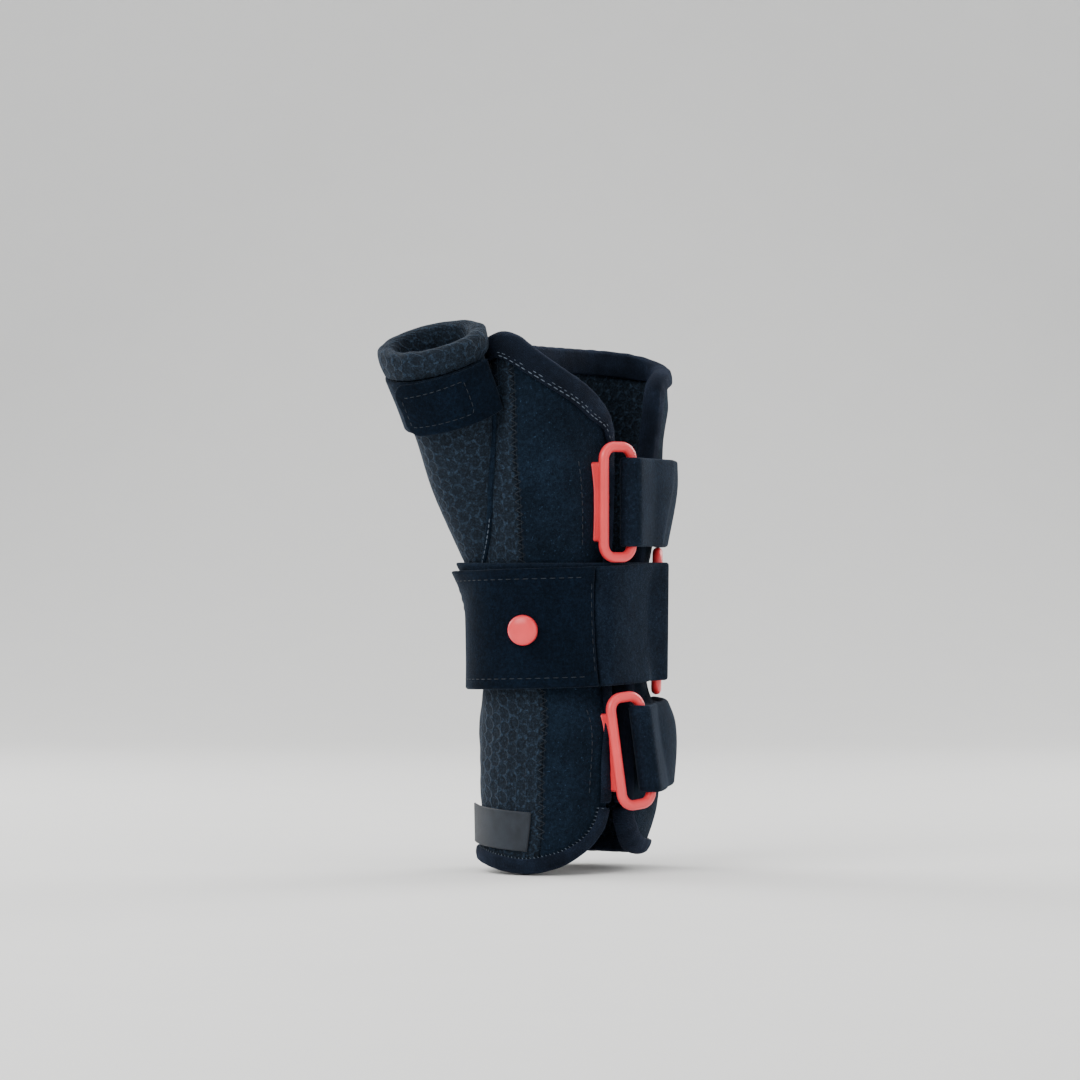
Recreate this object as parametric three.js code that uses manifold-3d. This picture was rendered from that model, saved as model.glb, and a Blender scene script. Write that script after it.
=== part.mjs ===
import * as THREE from 'three';
import { mergeVertices } from 'three/addons/utils/BufferGeometryUtils.js';
import Module from 'manifold-3d';

const wasm = await Module();
wasm.setup();

// Driving sizes of the wrapped body, in millimetres and degrees
const CUFF_DROP = 76;        // wrist centre down to the cuff's lower edge
const RIM_RISE = 100;        // wrist centre up to the rim round the knuckles
const HALF_THICK = 28;       // largest half thickness, palm to back
const HALF_BREADTH = 42;     // half breadth across the knuckles
const BACK_TURN = 33;        // how far the back of the hand is turned from +X
const SQUARENESS = 2.3;      // exponent of the rounded section, where 2 is an ellipse
const WALL = 2.8;            // padded wall of the three panels
const GAP = 0.3;             // clearance between pieces that touch
const TAPE_GAP = 0.55;       // clearance of a binding round the edge that it covers

// Driving sizes of the bindings
const TAPE = 1.1;            // tape thickness
const RIM_LEG = 7.2;         // how far the wide binding reaches in from the rim
const LOBE_LEG = 4;          // the same on the little-finger lobe
const EDGE_LEG = 3.3;        // the same along the dorsal opening
const CUFF_LEG = 3.6;        // the same round the cuff
const THUMB_LEG = 7;         // depth of the thumb hem

// Driving sizes of the thumb sleeve
const SLEEVE_WALL = 2.4;
const SLEEVE_MOUTH = 16.7;   // outer radius at the mouth
const MOUTH_BELOW = 1.5;     // how far the mouth's centre lies below the rim
const SLEEVE_RISE = RIM_RISE - MOUTH_BELOW;
const SLEEVE_OUT = 42.2;     // how far the mouth's centre stands out towards the palm side
const SLEEVE_NEAR = 32.5;    // how far the mouth's centre stands out past the thumb side
const BAND_WIDTH = 18.5;
const BAND_THICK = 1.8;
const BAND_DOWN = THUMB_LEG + 2 * GAP + BAND_WIDTH / 2;  // mouth to the band's middle

// Driving sizes of the straps
const STRAP_THICK = 2;
const STRAP_GAP = 0.75;      // clearance of a strap over the padded cloth
const STRAP_SLOPE = 0.5;     // how steeply a strap climbs to the bar that it folds round
const TAB_THICK = 2;
const HAND_STRAP_WIDTH = 29.4;
const HAND_STRAP_GAP = 0.3;  // from the wrist ring's top up to the hand strap
const HAND_STRAP_DROP = 0.5; // how far its middle drops towards the free end
const WRIST_STRAP_WIDTH = 39.4;
const WRIST_STRAP_UP = 6.3;  // height of its middle at the ring
const WRIST_STRAP_DROP = 3;
const TAB_START_DROP = 0.4;  // share of that drop where the stitched end starts
const FOREARM_STRAP_WIDTH = 28.6;
const FOREARM_STRAP_GAP = 3.8;  // from the wrist ring's foot down to the forearm strap
const FOREARM_STRAP_DROP = -1.6;
const TAB_CORNER = 4.5;      // corner radius of the strap ends

// Driving sizes of the rings
const WIRE = 3.4;            // wire diameter
const RING_REACH = 12;       // sewn bar to free bar, middle to middle
const RING_CORNER = 4.3;     // corner radius at the wire's middle
const RING_SLACK = 3.6;      // how much longer than its strap is wide a small ring's opening is
const WRIST_SLACK = 3.2;     // the same on the wrist ring
const FLANGE_THICK = 0.9;
const FLANGE_REACH = 9.5;    // how far the flange runs from the sewn bar
const FLANGE_SHARE = 0.74;   // flange height as a share of the ring's

const HAND_OPENING = HAND_STRAP_WIDTH + RING_SLACK;
const FOREARM_OPENING = FOREARM_STRAP_WIDTH + RING_SLACK;
const WRIST_OPENING = WRIST_STRAP_WIDTH + WRIST_SLACK;
const WRIST_RING_HALF = WRIST_OPENING / 2 + WIRE;
const HAND_STRAP_UP = WRIST_STRAP_UP + WRIST_RING_HALF + HAND_STRAP_GAP + HAND_STRAP_WIDTH / 2;
const FOREARM_STRAP_DOWN = WRIST_RING_HALF - WRIST_STRAP_UP + FOREARM_STRAP_GAP
  + FOREARM_STRAP_WIDTH / 2;

// Driving sizes of the small pieces
const BUTTON_RADIUS = 5;
const BUTTON_RISE = 3;
const LABEL_HEIGHT = 13;
const LABEL_THICK = 0.8;

// Sections of the body: level is a share of CUFF_DROP below the wrist and of RIM_RISE above,
// shift and thick are shares of HALF_THICK, near and far the half breadths towards the thumb and
// towards the little finger, as shares of HALF_BREADTH
const SECTIONS = [
  { level: -1.00, shift: -0.023, thick: 0.795, near: 0.679, far: 0.760 },
  { level: -0.79, shift: 0.067, thick: 0.908, near: 0.726, far: 0.830 },
  { level: -0.59, shift: 0.095, thick: 0.953, near: 0.745, far: 0.850 },
  { level: -0.37, shift: 0.101, thick: 0.966, near: 0.750, far: 0.830 },
  { level: -0.21, shift: 0.057, thick: 0.848, near: 0.750, far: 0.780 },
  { level: 0.00, shift: 0.030, thick: 0.806, near: 0.750, far: 0.750 },
  { level: 0.16, shift: 0.030, thick: 0.802, near: 0.786, far: 0.790 },
  { level: 0.30, shift: 0.042, thick: 0.860, near: 0.845, far: 0.870 },
  { level: 0.50, shift: 0.080, thick: 0.839, near: 0.940, far: 1.050 },
  { level: 0.64, shift: 0.143, thick: 0.707, near: 0.988, far: 1.080 },
  { level: 0.80, shift: 0.205, thick: 0.707, near: 1.000, far: 1.085 },
  { level: 1.02, shift: 0.188, thick: 0.700, near: 0.952, far: 1.020 },
];

// Edges of the cloth. turn is in degrees from the middle of the hand's back, by way of the
// thumb side (90), the palm (180) and the little-finger side (270)
const NEAR_EDGE = [
  { level: -0.71, turn: 25.5 }, { level: -0.43, turn: 26.5 }, { level: -0.22, turn: 18 },
  { level: -0.04, turn: 14.3 }, { level: 0.13, turn: 12.6 }, { level: 0.30, turn: 15.5 },
  { level: 0.47, turn: 14.3 }, { level: 0.58, turn: 11.5 }, { level: 0.66, turn: 9.2 },
];
const FAR_EDGE = [
  { level: -0.72, turn: 370 }, { level: -0.43, turn: 372.8 }, { level: -0.22, turn: 360.2 },
  { level: -0.04, turn: 352.4 }, { level: 0.13, turn: 346.3 }, { level: 0.30, turn: 346.4 },
  { level: 0.47, turn: 343 }, { level: 0.64, turn: 334.5 }, { level: 0.72, turn: 334.5 },
  { level: 0.80, turn: 335 },
];
const RIM = [
  { turn: 9.2, level: 0.660 }, { turn: 13.5, level: 0.722 }, { turn: 21, level: 0.778 },
  { turn: 33, level: 0.838 }, { turn: 48, level: 0.889 }, { turn: 68, level: 0.952 },
  { turn: 80, level: 0.982 }, { turn: 90, level: 0.997 }, { turn: 102, level: 1.005 },
  { turn: 118, level: 0.995 }, { turn: 140, level: 0.980 }, { turn: 180, level: 0.975 },
  { turn: 220, level: 0.970 }, { turn: 250, level: 0.960 }, { turn: 270, level: 0.945 },
  { turn: 290, level: 0.925 }, { turn: 306, level: 0.905 }, { turn: 320, level: 0.890 },
  { turn: 328, level: 0.872 }, { turn: 333, level: 0.842 }, { turn: 335, level: 0.800 },
];
const CUFF = [
  { turn: 25.5, level: -0.710 }, { turn: 27, level: -0.790 }, { turn: 31, level: -0.855 },
  { turn: 38, level: -0.908 }, { turn: 50, level: -0.955 }, { turn: 74, level: -0.987 },
  { turn: 103, level: -0.974 }, { turn: 130, level: -0.950 }, { turn: 180, level: -0.940 },
  { turn: 230, level: -0.935 }, { turn: 270, level: -0.935 }, { turn: 320, level: -0.930 },
  { turn: 340, level: -0.915 }, { turn: 352, level: -0.880 }, { turn: 362, level: -0.820 },
  { turn: 368, level: -0.770 }, { turn: 370, level: -0.720 },
];
// Where velour meets mesh on the thumb side, and on the little-finger side
const THUMB_SIDE_SEAM = [
  { level: -0.98, turn: 66.5 }, { level: -0.71, turn: 70 }, { level: -0.44, turn: 70.4 },
  { level: -0.22, turn: 65.5 }, { level: 0.07, turn: 69 }, { level: 0.26, turn: 75.5 },
  { level: 0.54, turn: 76 }, { level: 0.76, turn: 83 }, { level: 1.00, turn: 91 },
];
const FINGER_SIDE_SEAM = [
  { level: -0.94, turn: 292 }, { level: 0, turn: 285 }, { level: 0.94, turn: 276 },
];
// The sleeve's axis and radius: rise, out and near are shares of the mouth's place, radius
// of SLEEVE_MOUTH
const SLEEVE = [
  { rise: 0.000, out: 0.285, near: 0.160, radius: 0.660 },
  { rise: 0.160, out: 0.345, near: 0.245, radius: 0.690 },
  { rise: 0.284, out: 0.475, near: 0.350, radius: 0.700 },
  { rise: 0.457, out: 0.615, near: 0.490, radius: 0.820 },
  { rise: 0.650, out: 0.750, near: 0.660, radius: 0.885 },
  { rise: 0.812, out: 0.862, near: 0.815, radius: 0.920 },
  { rise: 0.914, out: 0.950, near: 0.915, radius: 0.940 },
  { rise: 1.000, out: 1.000, near: 1.000, radius: 1.000 },
];

const rad = THREE.MathUtils.degToRad;
const BACK = new THREE.Vector3(Math.cos(rad(BACK_TURN)), -Math.sin(rad(BACK_TURN)), 0);
const FINGER_SIDE = new THREE.Vector3(Math.sin(rad(BACK_TURN)), Math.cos(rad(BACK_TURN)), 0);

const mix = (a, b, t) => a + (b - a) * t;
const heightOf = (level) => level * (level < 0 ? CUFF_DROP : RIM_RISE);
const levelOf = (z) => z / (z < 0 ? CUFF_DROP : RIM_RISE);

// A smooth curve through a table's rows, flat past its ends
function read(table, key, column, at) {
  const last = table.length - 1;
  const x = THREE.MathUtils.clamp(at, table[0][key], table[last][key]);
  let i = 0;
  while (i < last - 1 && x > table[i + 1][key]) i += 1;
  const slope = (k) => {
    const a = table[Math.max(k - 1, 0)];
    const b = table[Math.min(k + 1, last)];
    return (b[column] - a[column]) / (b[key] - a[key]);
  };
  const span = table[i + 1][key] - table[i][key];
  const t = (x - table[i][key]) / span;
  const [y0, y1] = [table[i][column], table[i + 1][column]];
  const [m0, m1] = [slope(i) * span, slope(i + 1) * span];
  return (2 * t ** 3 - 3 * t ** 2 + 1) * y0 + (t ** 3 - 2 * t ** 2 + t) * m0
    + (3 * t ** 2 - 2 * t ** 3) * y1 + (t ** 3 - t ** 2) * m1;
}

// A point of the wrapped body: the section's rounded outline, moved out by lift
function skin(turn, z, lift = 0) {
  const level = levelOf(z);
  const thick = HALF_THICK * read(SECTIONS, 'level', 'thick', level);
  const shift = HALF_THICK * read(SECTIONS, 'level', 'shift', level);
  const c = Math.cos(rad(turn));
  const s = -Math.sin(rad(turn));
  const breadth = HALF_BREADTH * read(SECTIONS, 'level', s < 0 ? 'near' : 'far', level);
  const k = (Math.abs(c) ** SQUARENESS + Math.abs(s) ** SQUARENESS) ** (-1 / SQUARENESS);
  const outC = Math.sign(c) * Math.abs(c * k) ** (SQUARENESS - 1) / thick;
  const outS = Math.sign(s) * Math.abs(s * k) ** (SQUARENESS - 1) / breadth;
  const size = Math.hypot(outC, outS);
  return new THREE.Vector3(shift, 0, z)
    .addScaledVector(BACK, thick * c * k + lift * outC / size)
    .addScaledVector(FINGER_SIDE, breadth * s * k + lift * outS / size);
}

// How many degrees of turn make one millimetre of cloth
function degreesPerMm(turn, z) {
  const step = 0.5;
  return 2 * step / skin(turn - step, z).distanceTo(skin(turn + step, z));
}

const nearEdge = (z) => read(NEAR_EDGE, 'level', 'turn', levelOf(z));
const farEdge = (z) => read(FAR_EDGE, 'level', 'turn', levelOf(z));
const rimHeight = (turn) => heightOf(read(RIM, 'turn', 'level', turn));
const cuffHeight = (turn) => heightOf(read(CUFF, 'turn', 'level', turn));

// A closed solid between two grids of points, rows[i][j]; looped joins the last i to the first
function thickSheet(outer, inner, looped = false) {
  const rows = outer.length;
  const cols = outer[0].length;
  const positions = [outer, inner].flat(2).flatMap((p) => [p.x, p.y, p.z]);
  const at = (side, i, j) => (side * rows + (i % rows)) * cols + j;
  const faces = [];
  const quad = (a, b, c, d) => faces.push(a, b, c, a, c, d);
  for (let i = 0; i < (looped ? rows : rows - 1); i += 1) {
    for (let j = 0; j < cols - 1; j += 1) {
      quad(at(0, i, j), at(0, i + 1, j), at(0, i + 1, j + 1), at(0, i, j + 1));
      quad(at(1, i, j), at(1, i, j + 1), at(1, i + 1, j + 1), at(1, i + 1, j));
    }
    quad(at(0, i, 0), at(1, i, 0), at(1, i + 1, 0), at(0, i + 1, 0));
    quad(at(0, i + 1, cols - 1), at(1, i + 1, cols - 1), at(1, i, cols - 1), at(0, i, cols - 1));
  }
  if (!looped) {
    for (let j = 0; j < cols - 1; j += 1) {
      quad(at(0, 0, j), at(0, 0, j + 1), at(1, 0, j + 1), at(1, 0, j));
      quad(at(0, rows - 1, j + 1), at(0, rows - 1, j), at(1, rows - 1, j), at(1, rows - 1, j + 1));
    }
  }
  return closedGeometry(positions, faces);
}

// A closed solid through rings of points, with a fan over each end
function filledTube(rings) {
  const sides = rings[0].length;
  const last = rings.length - 1;
  const middle = (ring) => ring.reduce((sum, p) => sum.add(p), new THREE.Vector3())
    .divideScalar(sides);
  const points = [...rings.flat(), middle(rings[0]), middle(rings[last])];
  const faces = [];
  for (let j = 0; j < sides; j += 1) {
    const next = (j + 1) % sides;
    for (let i = 0; i < last; i += 1) {
      const [a, b] = [i * sides + j, i * sides + next];
      faces.push(a, b, b + sides, a, b + sides, a + sides);
    }
    faces.push(points.length - 2, next, j);
    faces.push(points.length - 1, last * sides + j, last * sides + next);
  }
  return closedGeometry(points.flatMap((p) => p.toArray()), faces);
}

// A geometry whose faces point out of the volume they close
function closedGeometry(positions, faces) {
  let volume = 0;
  const corner = (k) => new THREE.Vector3().fromArray(positions, 3 * k);
  for (let f = 0; f < faces.length; f += 3) {
    volume += corner(faces[f]).dot(corner(faces[f + 1]).cross(corner(faces[f + 2])));
  }
  if (volume < 0) faces.reverse();
  const geometry = new THREE.BufferGeometry();
  geometry.setAttribute('position', new THREE.Float32BufferAttribute(positions, 3));
  geometry.setIndex(faces);
  return geometry;
}

function toSolid(geometry) {
  const bare = geometry.clone();
  bare.deleteAttribute('normal');
  bare.deleteAttribute('uv');
  const merged = mergeVertices(bare, 1e-5);
  return new wasm.Manifold(new wasm.Mesh({
    numProp: 3,
    vertProperties: new Float32Array(merged.attributes.position.array),
    triVerts: new Uint32Array(merged.index.array),
  }));
}

function fromSolid(solid) {
  const mesh = solid.getMesh();
  const geometry = new THREE.BufferGeometry();
  const points = new THREE.BufferAttribute(new Float32Array(mesh.vertProperties), 3);
  geometry.setAttribute('position', points);
  geometry.setIndex(Array.from(mesh.triVerts));
  return geometry;
}

// Cloth panels

// A patch of cloth between four edge curves, each a function of 0 to 1 giving [turn, z]
function coons(left, right, low, high) {
  const corner = [left(0), left(1), right(0), right(1)];
  return (u, v) => [0, 1].map((k) => mix(low(u)[k], high(u)[k], v) + mix(left(v)[k], right(v)[k], u)
    - mix(mix(corner[0][k], corner[1][k], v), mix(corner[2][k], corner[3][k], v), u));
}

// An upright edge from the cuff to the rim, moved along the cloth by aside millimetres
function uprightEdge(lowZ, highZ, turnAt, aside = 0) {
  return (v) => {
    const z = mix(lowZ, highZ, v);
    const turn = turnAt(z);
    return [turn + aside * degreesPerMm(turn, z), z];
  };
}

function seamEdge(table, aside) {
  const turnAt = (z) => read(table, 'level', 'turn', levelOf(z));
  const low = cuffHeight(table[0].turn);
  const high = rimHeight(table[table.length - 1].turn);
  return uprightEdge(low, high, turnAt, aside);
}

// Even steps from a to b, both included
const steps = (a, b, count) => Array.from({ length: count + 1 }, (_, i) => mix(a, b, i / count));

const NEAR_LOW = heightOf(NEAR_EDGE[0].level);
const NEAR_HIGH = heightOf(NEAR_EDGE[NEAR_EDGE.length - 1].level);
const FAR_LOW = heightOf(FAR_EDGE[0].level);
const FAR_HIGH = heightOf(FAR_EDGE[FAR_EDGE.length - 1].level);
const ROWS = 15;
const CROWD = 1.8;           // how much the columns crowd towards a free edge

// Each panel's two upright edges, and its columns as shares of the way across
const RADIAL = {
  left: uprightEdge(NEAR_LOW, NEAR_HIGH, nearEdge),
  right: seamEdge(THUMB_SIDE_SEAM, -GAP / 2),
  shares: steps(0, 1, 11).map((t) => t ** CROWD),
};
const PALMAR = {
  left: seamEdge(THUMB_SIDE_SEAM, GAP / 2),
  right: seamEdge(FINGER_SIDE_SEAM, -GAP / 2),
  shares: steps(0, 1, 18),
};
const ULNAR = {
  left: seamEdge(FINGER_SIDE_SEAM, GAP / 2),
  right: uprightEdge(FAR_LOW, FAR_HIGH, farEdge),
  shares: steps(0, 1, 11).map((t) => 1 - (1 - t) ** CROWD),
};

const turnAlong = (cloth, v, u) => mix(cloth.left(v)[0], cloth.right(v)[0], u);

function panel(cloth) {
  const low = (u) => [turnAlong(cloth, 0, u), cuffHeight(turnAlong(cloth, 0, u))];
  const high = (u) => [turnAlong(cloth, 1, u), rimHeight(turnAlong(cloth, 1, u))];
  const patch = coons(cloth.left, cloth.right, low, high);
  const grid = (lift) => cloth.shares.map((u) => (
    steps(0, 1, ROWS).map((v) => skin(...patch(u, v), lift))));
  return thickSheet(grid(0), grid(-WALL));
}

// Bindings

// The two faces of a tape folded over an edge, as [inward, lift] pairs of the same count
function foldedTape(leg, wall) {
  const near = TAPE_GAP;
  const far = TAPE_GAP + TAPE;
  return {
    outer: [[leg, far], [-near, far], [-far, -wall / 2], [-near, -wall - far], [leg, -wall - far]],
    inner: [[leg, near], [-near, near], [-near, -wall / 2], [-near, -wall - near],
      [leg, -wall - near]],
  };
}

// Tape over a path of [turn, z, leg] rows, whose cloth lies on the path's left or right. The
// first and last rows only give the tape's ends their direction
function bodyBinding(path, side) {
  const outer = [];
  const inner = [];
  path.slice(1, -1).forEach(([turn, z, leg], i) => {
    const before = path[i];
    const after = path[i + 2];
    const along = skin(after[0], after[1]).sub(skin(before[0], before[1])).normalize();
    const aroundStep = skin(turn + 0.5, z).sub(skin(turn - 0.5, z));
    const upStep = skin(turn, z + 0.5).sub(skin(turn, z - 0.5));
    const out = aroundStep.clone().cross(upStep).normalize();
    const inward = out.clone().cross(along).multiplyScalar(side);
    const [aa, bb, ab] = [aroundStep.lengthSq(), upStep.lengthSq(), aroundStep.dot(upStep)];
    const [ia, ib] = [inward.dot(aroundStep), inward.dot(upStep)];
    const det = aa * bb - ab * ab;
    const turnStep = (ia * bb - ib * ab) / det;
    const zStep = (ib * aa - ia * ab) / det;
    const place = ([d, lift]) => skin(turn + d * turnStep, z + d * zStep, lift);
    const profile = foldedTape(leg, WALL);
    outer.push(profile.outer.map(place));
    inner.push(profile.inner.map(place));
  });
  return thickSheet(outer, inner);
}

// The turns of all the panels' columns along the rim (v = 1) or the cuff (v = 0), so that a
// binding bends where its panels do
function columnTurns(v) {
  const turns = (cloth) => cloth.shares.map((u) => turnAlong(cloth, v, u));
  return [...turns(RADIAL).slice(0, -1), ...turns(PALMAR), ...turns(ULNAR).slice(1)];
}

const edgeRows = (low, high) => steps(low, high, ROWS);
const CUFF_START = 0.4;      // degrees of turn between the two bindings where they meet

function handBinding() {
  const near = edgeRows(NEAR_LOW, NEAR_HIGH).map((z) => [nearEdge(z), z, EDGE_LEG]);
  const rim = columnTurns(1).slice(1, -1).map((turn) => {
    const wide = mix(EDGE_LEG, RIM_LEG, THREE.MathUtils.smoothstep(turn, 10, 24));
    return [turn, rimHeight(turn), mix(wide, LOBE_LEG, THREE.MathUtils.smoothstep(turn, 255, 315))];
  });
  const far = edgeRows(FAR_LOW, FAR_HIGH).reverse().map((z) => {
    const lobe = THREE.MathUtils.smoothstep(levelOf(z), 0.55, 0.78);
    return [farEdge(z), z, mix(EDGE_LEG, LOBE_LEG, lobe)];
  });
  const onCuff = (turn) => [turn, cuffHeight(turn), EDGE_LEG];
  const first = onCuff(NEAR_EDGE[0].turn + CUFF_START);
  const last = onCuff(FAR_EDGE[0].turn - CUFF_START);
  return bodyBinding([first, ...near, ...rim, ...far, last], -1);
}

function cuffBinding() {
  const turns = columnTurns(0);
  turns[0] += CUFF_START;
  turns[turns.length - 1] -= CUFF_START;
  const rows = turns.map((turn) => [turn, cuffHeight(turn), CUFF_LEG]);
  const first = [NEAR_EDGE[0].turn, NEAR_LOW, CUFF_LEG];
  const last = [FAR_EDGE[0].turn, FAR_LOW, CUFF_LEG];
  return bodyBinding([first, ...rows, last], 1);
}

// Thumb sleeve

const ALONG_SLEEVE = new THREE.CatmullRomCurve3(SLEEVE.map((row) => new THREE.Vector3(
  -SLEEVE_OUT * row.out, -SLEEVE_NEAR * row.near, SLEEVE_RISE * row.rise)));
const SLEEVE_LENGTH = ALONG_SLEEVE.getLength();

// A point of the sleeve: down is millimetres from the mouth along the axis, around is in degrees
// from the side next to the hand, by way of the front, and lift is out from the wall's outside
function sleeve(around, down, lift = 0) {
  const share = 1 - down / SLEEVE_LENGTH;
  const at = ALONG_SLEEVE.getPointAt(THREE.MathUtils.clamp(share, 0, 1));
  const axis = ALONG_SLEEVE.getTangentAt(THREE.MathUtils.clamp(share, 0, 1));
  const beyond = Math.max(share - 1, 0) * SLEEVE_LENGTH;
  const right = new THREE.Vector3(1, 0, 0).addScaledVector(axis, -axis.x).normalize();
  const front = right.clone().cross(axis);
  const radius = SLEEVE_MOUTH * read(SLEEVE, 'rise', 'radius', at.z / SLEEVE_RISE) + lift;
  return at.clone().addScaledVector(axis, beyond)
    .addScaledVector(right, radius * Math.cos(rad(around)))
    .addScaledVector(front, radius * Math.sin(rad(around)));
}

function sleeveTube() {
  const sides = 24;
  const grid = (lift) => steps(0, 360, sides).slice(0, sides).map((around) => (
    steps(0, SLEEVE_LENGTH, 10).map((down) => sleeve(around, down, lift))));
  return thickSheet(grid(0), grid(-SLEEVE_WALL), true);
}

// The space the body fills, as one solid, lift millimetres out from the cloth's outside
function bodyFill(lift) {
  return filledTube(steps(-CUFF_DROP / 2, RIM_RISE * 1.1, 12).map((z) => (
    steps(0, 360, 40).slice(0, 40).map((turn) => skin(turn, z, lift)))));
}

function thumbSleeve() {
  return fromSolid(toSolid(sleeveTube()).subtract(toSolid(bodyFill(2 * GAP))));
}

function thumbHollow() {
  return toSolid(filledTube(steps(0, SLEEVE_LENGTH, 9).map((down) => (
    steps(0, 360, 20).slice(0, 20).map((around) => sleeve(around, down, -SLEEVE_WALL))))));
}

function thumbBinding() {
  const profile = foldedTape(THUMB_LEG, SLEEVE_WALL);
  const face = (side) => steps(0, 360, 24).slice(0, 24).map((around) => (
    profile[side].map(([down, lift]) => sleeve(around, down, lift))));
  return thickSheet(face('outer'), face('inner'), true);
}

// Narrows a strap towards a rounded end: toEnd is the distance left to the end
function endTrim(toEnd, corner) {
  if (toEnd >= corner) return 0;
  return corner - Math.sqrt(Math.max(corner ** 2 - (corner - toEnd) ** 2, 0));
}

// A strip round the sleeve between two angles, with a rounded far end where corner is set
function sleeveStrip(from, to, low, thick, corner) {
  const arounds = corner ? [...steps(from, to - 14, 9), to - 9, to - 5, to - 2, to - 0.4, to]
    : steps(from, to, 22);
  const face = (lift) => arounds.map((around) => {
    const toEnd = rad(to - around) * SLEEVE_MOUTH;
    const half = BAND_WIDTH / 2 - (corner ? endTrim(toEnd, corner) : 0);
    return steps(-half, half, 2).map((d) => sleeve(around, BAND_DOWN + d, lift));
  });
  return thickSheet(face(low + thick), face(low));
}

const BAND_FROM = 29;
const BAND_TO = 308;
const THUMB_TAB_TO = 141;

const thumbBand = () => sleeveStrip(BAND_FROM, BAND_TO, GAP, BAND_THICK, 0);
const thumbTab = () => sleeveStrip(BAND_FROM, THUMB_TAB_TO, 2 * GAP + BAND_THICK, BAND_THICK, TAB_CORNER);

// Rings

// A ring's place: the sewn bar's middle, the bars' direction and the way to the free bar
function ringPlace({ turn, z, lift, heading, lean }) {
  const bar = new THREE.Vector3(lean, 0, 1).normalize();
  const across = new THREE.Vector3(Math.cos(rad(heading)), Math.sin(rad(heading)), 0);
  across.addScaledVector(bar, -across.dot(bar)).normalize();
  const out = across.clone().cross(bar).normalize();
  if (out.dot(BACK) < 0) out.negate();
  return { middle: skin(turn, z, lift), bar, across, out, turn, z, lift };
}

const BAR_LIFT = TAPE_GAP + TAPE + GAP + WIRE / 2;
const handPlace = ringPlace({ turn: 24.5, z: HAND_STRAP_UP, lift: BAR_LIFT, heading: 39, lean: 0 });
const forearmPlace = ringPlace({
  turn: 27.5, z: -FOREARM_STRAP_DOWN, lift: BAR_LIFT + 1, heading: 35, lean: -0.13,
});
const wristPlace = ringPlace({
  turn: 314, z: WRIST_STRAP_UP, lift: BAR_LIFT + 1.7, heading: -92, lean: 0.01,
});

const barHeight = (place) => place.middle.z + RING_REACH * place.across.z;

// The free bar's middle at height z
function freeBar(place, z) {
  const start = place.middle.clone().addScaledVector(place.across, RING_REACH);
  return start.addScaledVector(place.bar, (z - start.z) / place.bar.z);
}

function wireLoop(place, opening) {
  const tall = opening + WIRE;
  const corners = [[RING_REACH, tall / 2, 0], [0, tall / 2, 90], [0, -tall / 2, 180],
    [RING_REACH, -tall / 2, 270]];
  const path = corners.flatMap(([x, y, from]) => {
    const cx = x + (x ? -RING_CORNER : RING_CORNER);
    const cy = y - Math.sign(y) * RING_CORNER;
    return steps(from, from + 90, 4).map((a) => {
      const side = new THREE.Vector3().addScaledVector(place.across, Math.cos(rad(a)))
        .addScaledVector(place.bar, Math.sin(rad(a)));
      const at = place.middle.clone().addScaledVector(place.across, cx)
        .addScaledVector(place.bar, cy).addScaledVector(side, RING_CORNER);
      return { at, side };
    });
  });
  const sides = 8;
  const positions = path.flatMap(({ at, side }) => steps(0, 360, sides).slice(0, sides).flatMap((a) => (
    at.clone().addScaledVector(side, WIRE / 2 * Math.cos(rad(a)))
      .addScaledVector(place.out, WIRE / 2 * Math.sin(rad(a))).toArray())));
  const faces = [];
  path.forEach((_, i) => {
    const next = (i + 1) % path.length;
    for (let k = 0; k < sides; k += 1) {
      const l = (k + 1) % sides;
      const quad = [i * sides + k, next * sides + k, next * sides + l, i * sides + l];
      faces.push(quad[0], quad[1], quad[2], quad[0], quad[2], quad[3]);
    }
  });
  return closedGeometry(positions, faces);
}

// The sewn flange: from inside the sewn bar down past the bar's side into the cloth, and on
// within the wall. way is +1 when it runs on with the turn. extra grows it for its slit
function flange(place, tall, way, extra) {
  const half = FLANGE_THICK / 2 + extra;
  const side = WIRE / 2;
  const within = -WALL / 2;
  const path = [[0.2 * side, place.lift - 0.2 * side], [0.9 * side, 0.45 * place.lift],
    [1.3 * side, 0], [side + WALL / 2, within], [FLANGE_REACH + extra, within]];
  const face = (facing) => path.map(([along, lift], i) => {
    const before = path[Math.max(i - 1, 0)];
    const after = path[Math.min(i + 1, path.length - 1)];
    const step = new THREE.Vector2(after[0] - before[0], after[1] - before[1]).normalize();
    const [u, v] = [along - facing * half * step.y, lift + facing * half * step.x];
    return steps(-tall / 2 - extra, tall / 2 + extra, 4).map((up) => {
      const z = place.z + up;
      const bar = place.middle.clone().addScaledVector(place.bar, up / place.bar.z);
      const start = place.turn + turnsTo(bar, place.turn, z);
      return skin(start + way * u * degreesPerMm(place.turn, z), z, v);
    });
  });
  return thickSheet(face(1), face(-1));
}

// The turn and lift of a point that stands off the body
function footOf(point, guess) {
  let turn = guess;
  for (let i = 0; i < 8; i += 1) turn += turnsTo(point, turn, point.z);
  const out = skin(turn, point.z, 1).sub(skin(turn, point.z));
  return { turn, lift: point.clone().sub(skin(turn, point.z)).dot(out) };
}

// How far a point's own turn is from the given one, to first order
function turnsTo(point, turn, z) {
  const along = skin(turn + 0.5, z).sub(skin(turn - 0.5, z));
  const off = point.clone().sub(skin(turn, z));
  off.z = 0;
  return off.dot(along) / along.lengthSq();
}

function ring(place, opening, way) {
  const loop = toSolid(wireLoop(place, opening));
  const tall = (opening + 2 * WIRE) * FLANGE_SHARE;
  return fromSolid(loop.add(toSolid(flange(place, tall, way, 0))));
}

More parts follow.
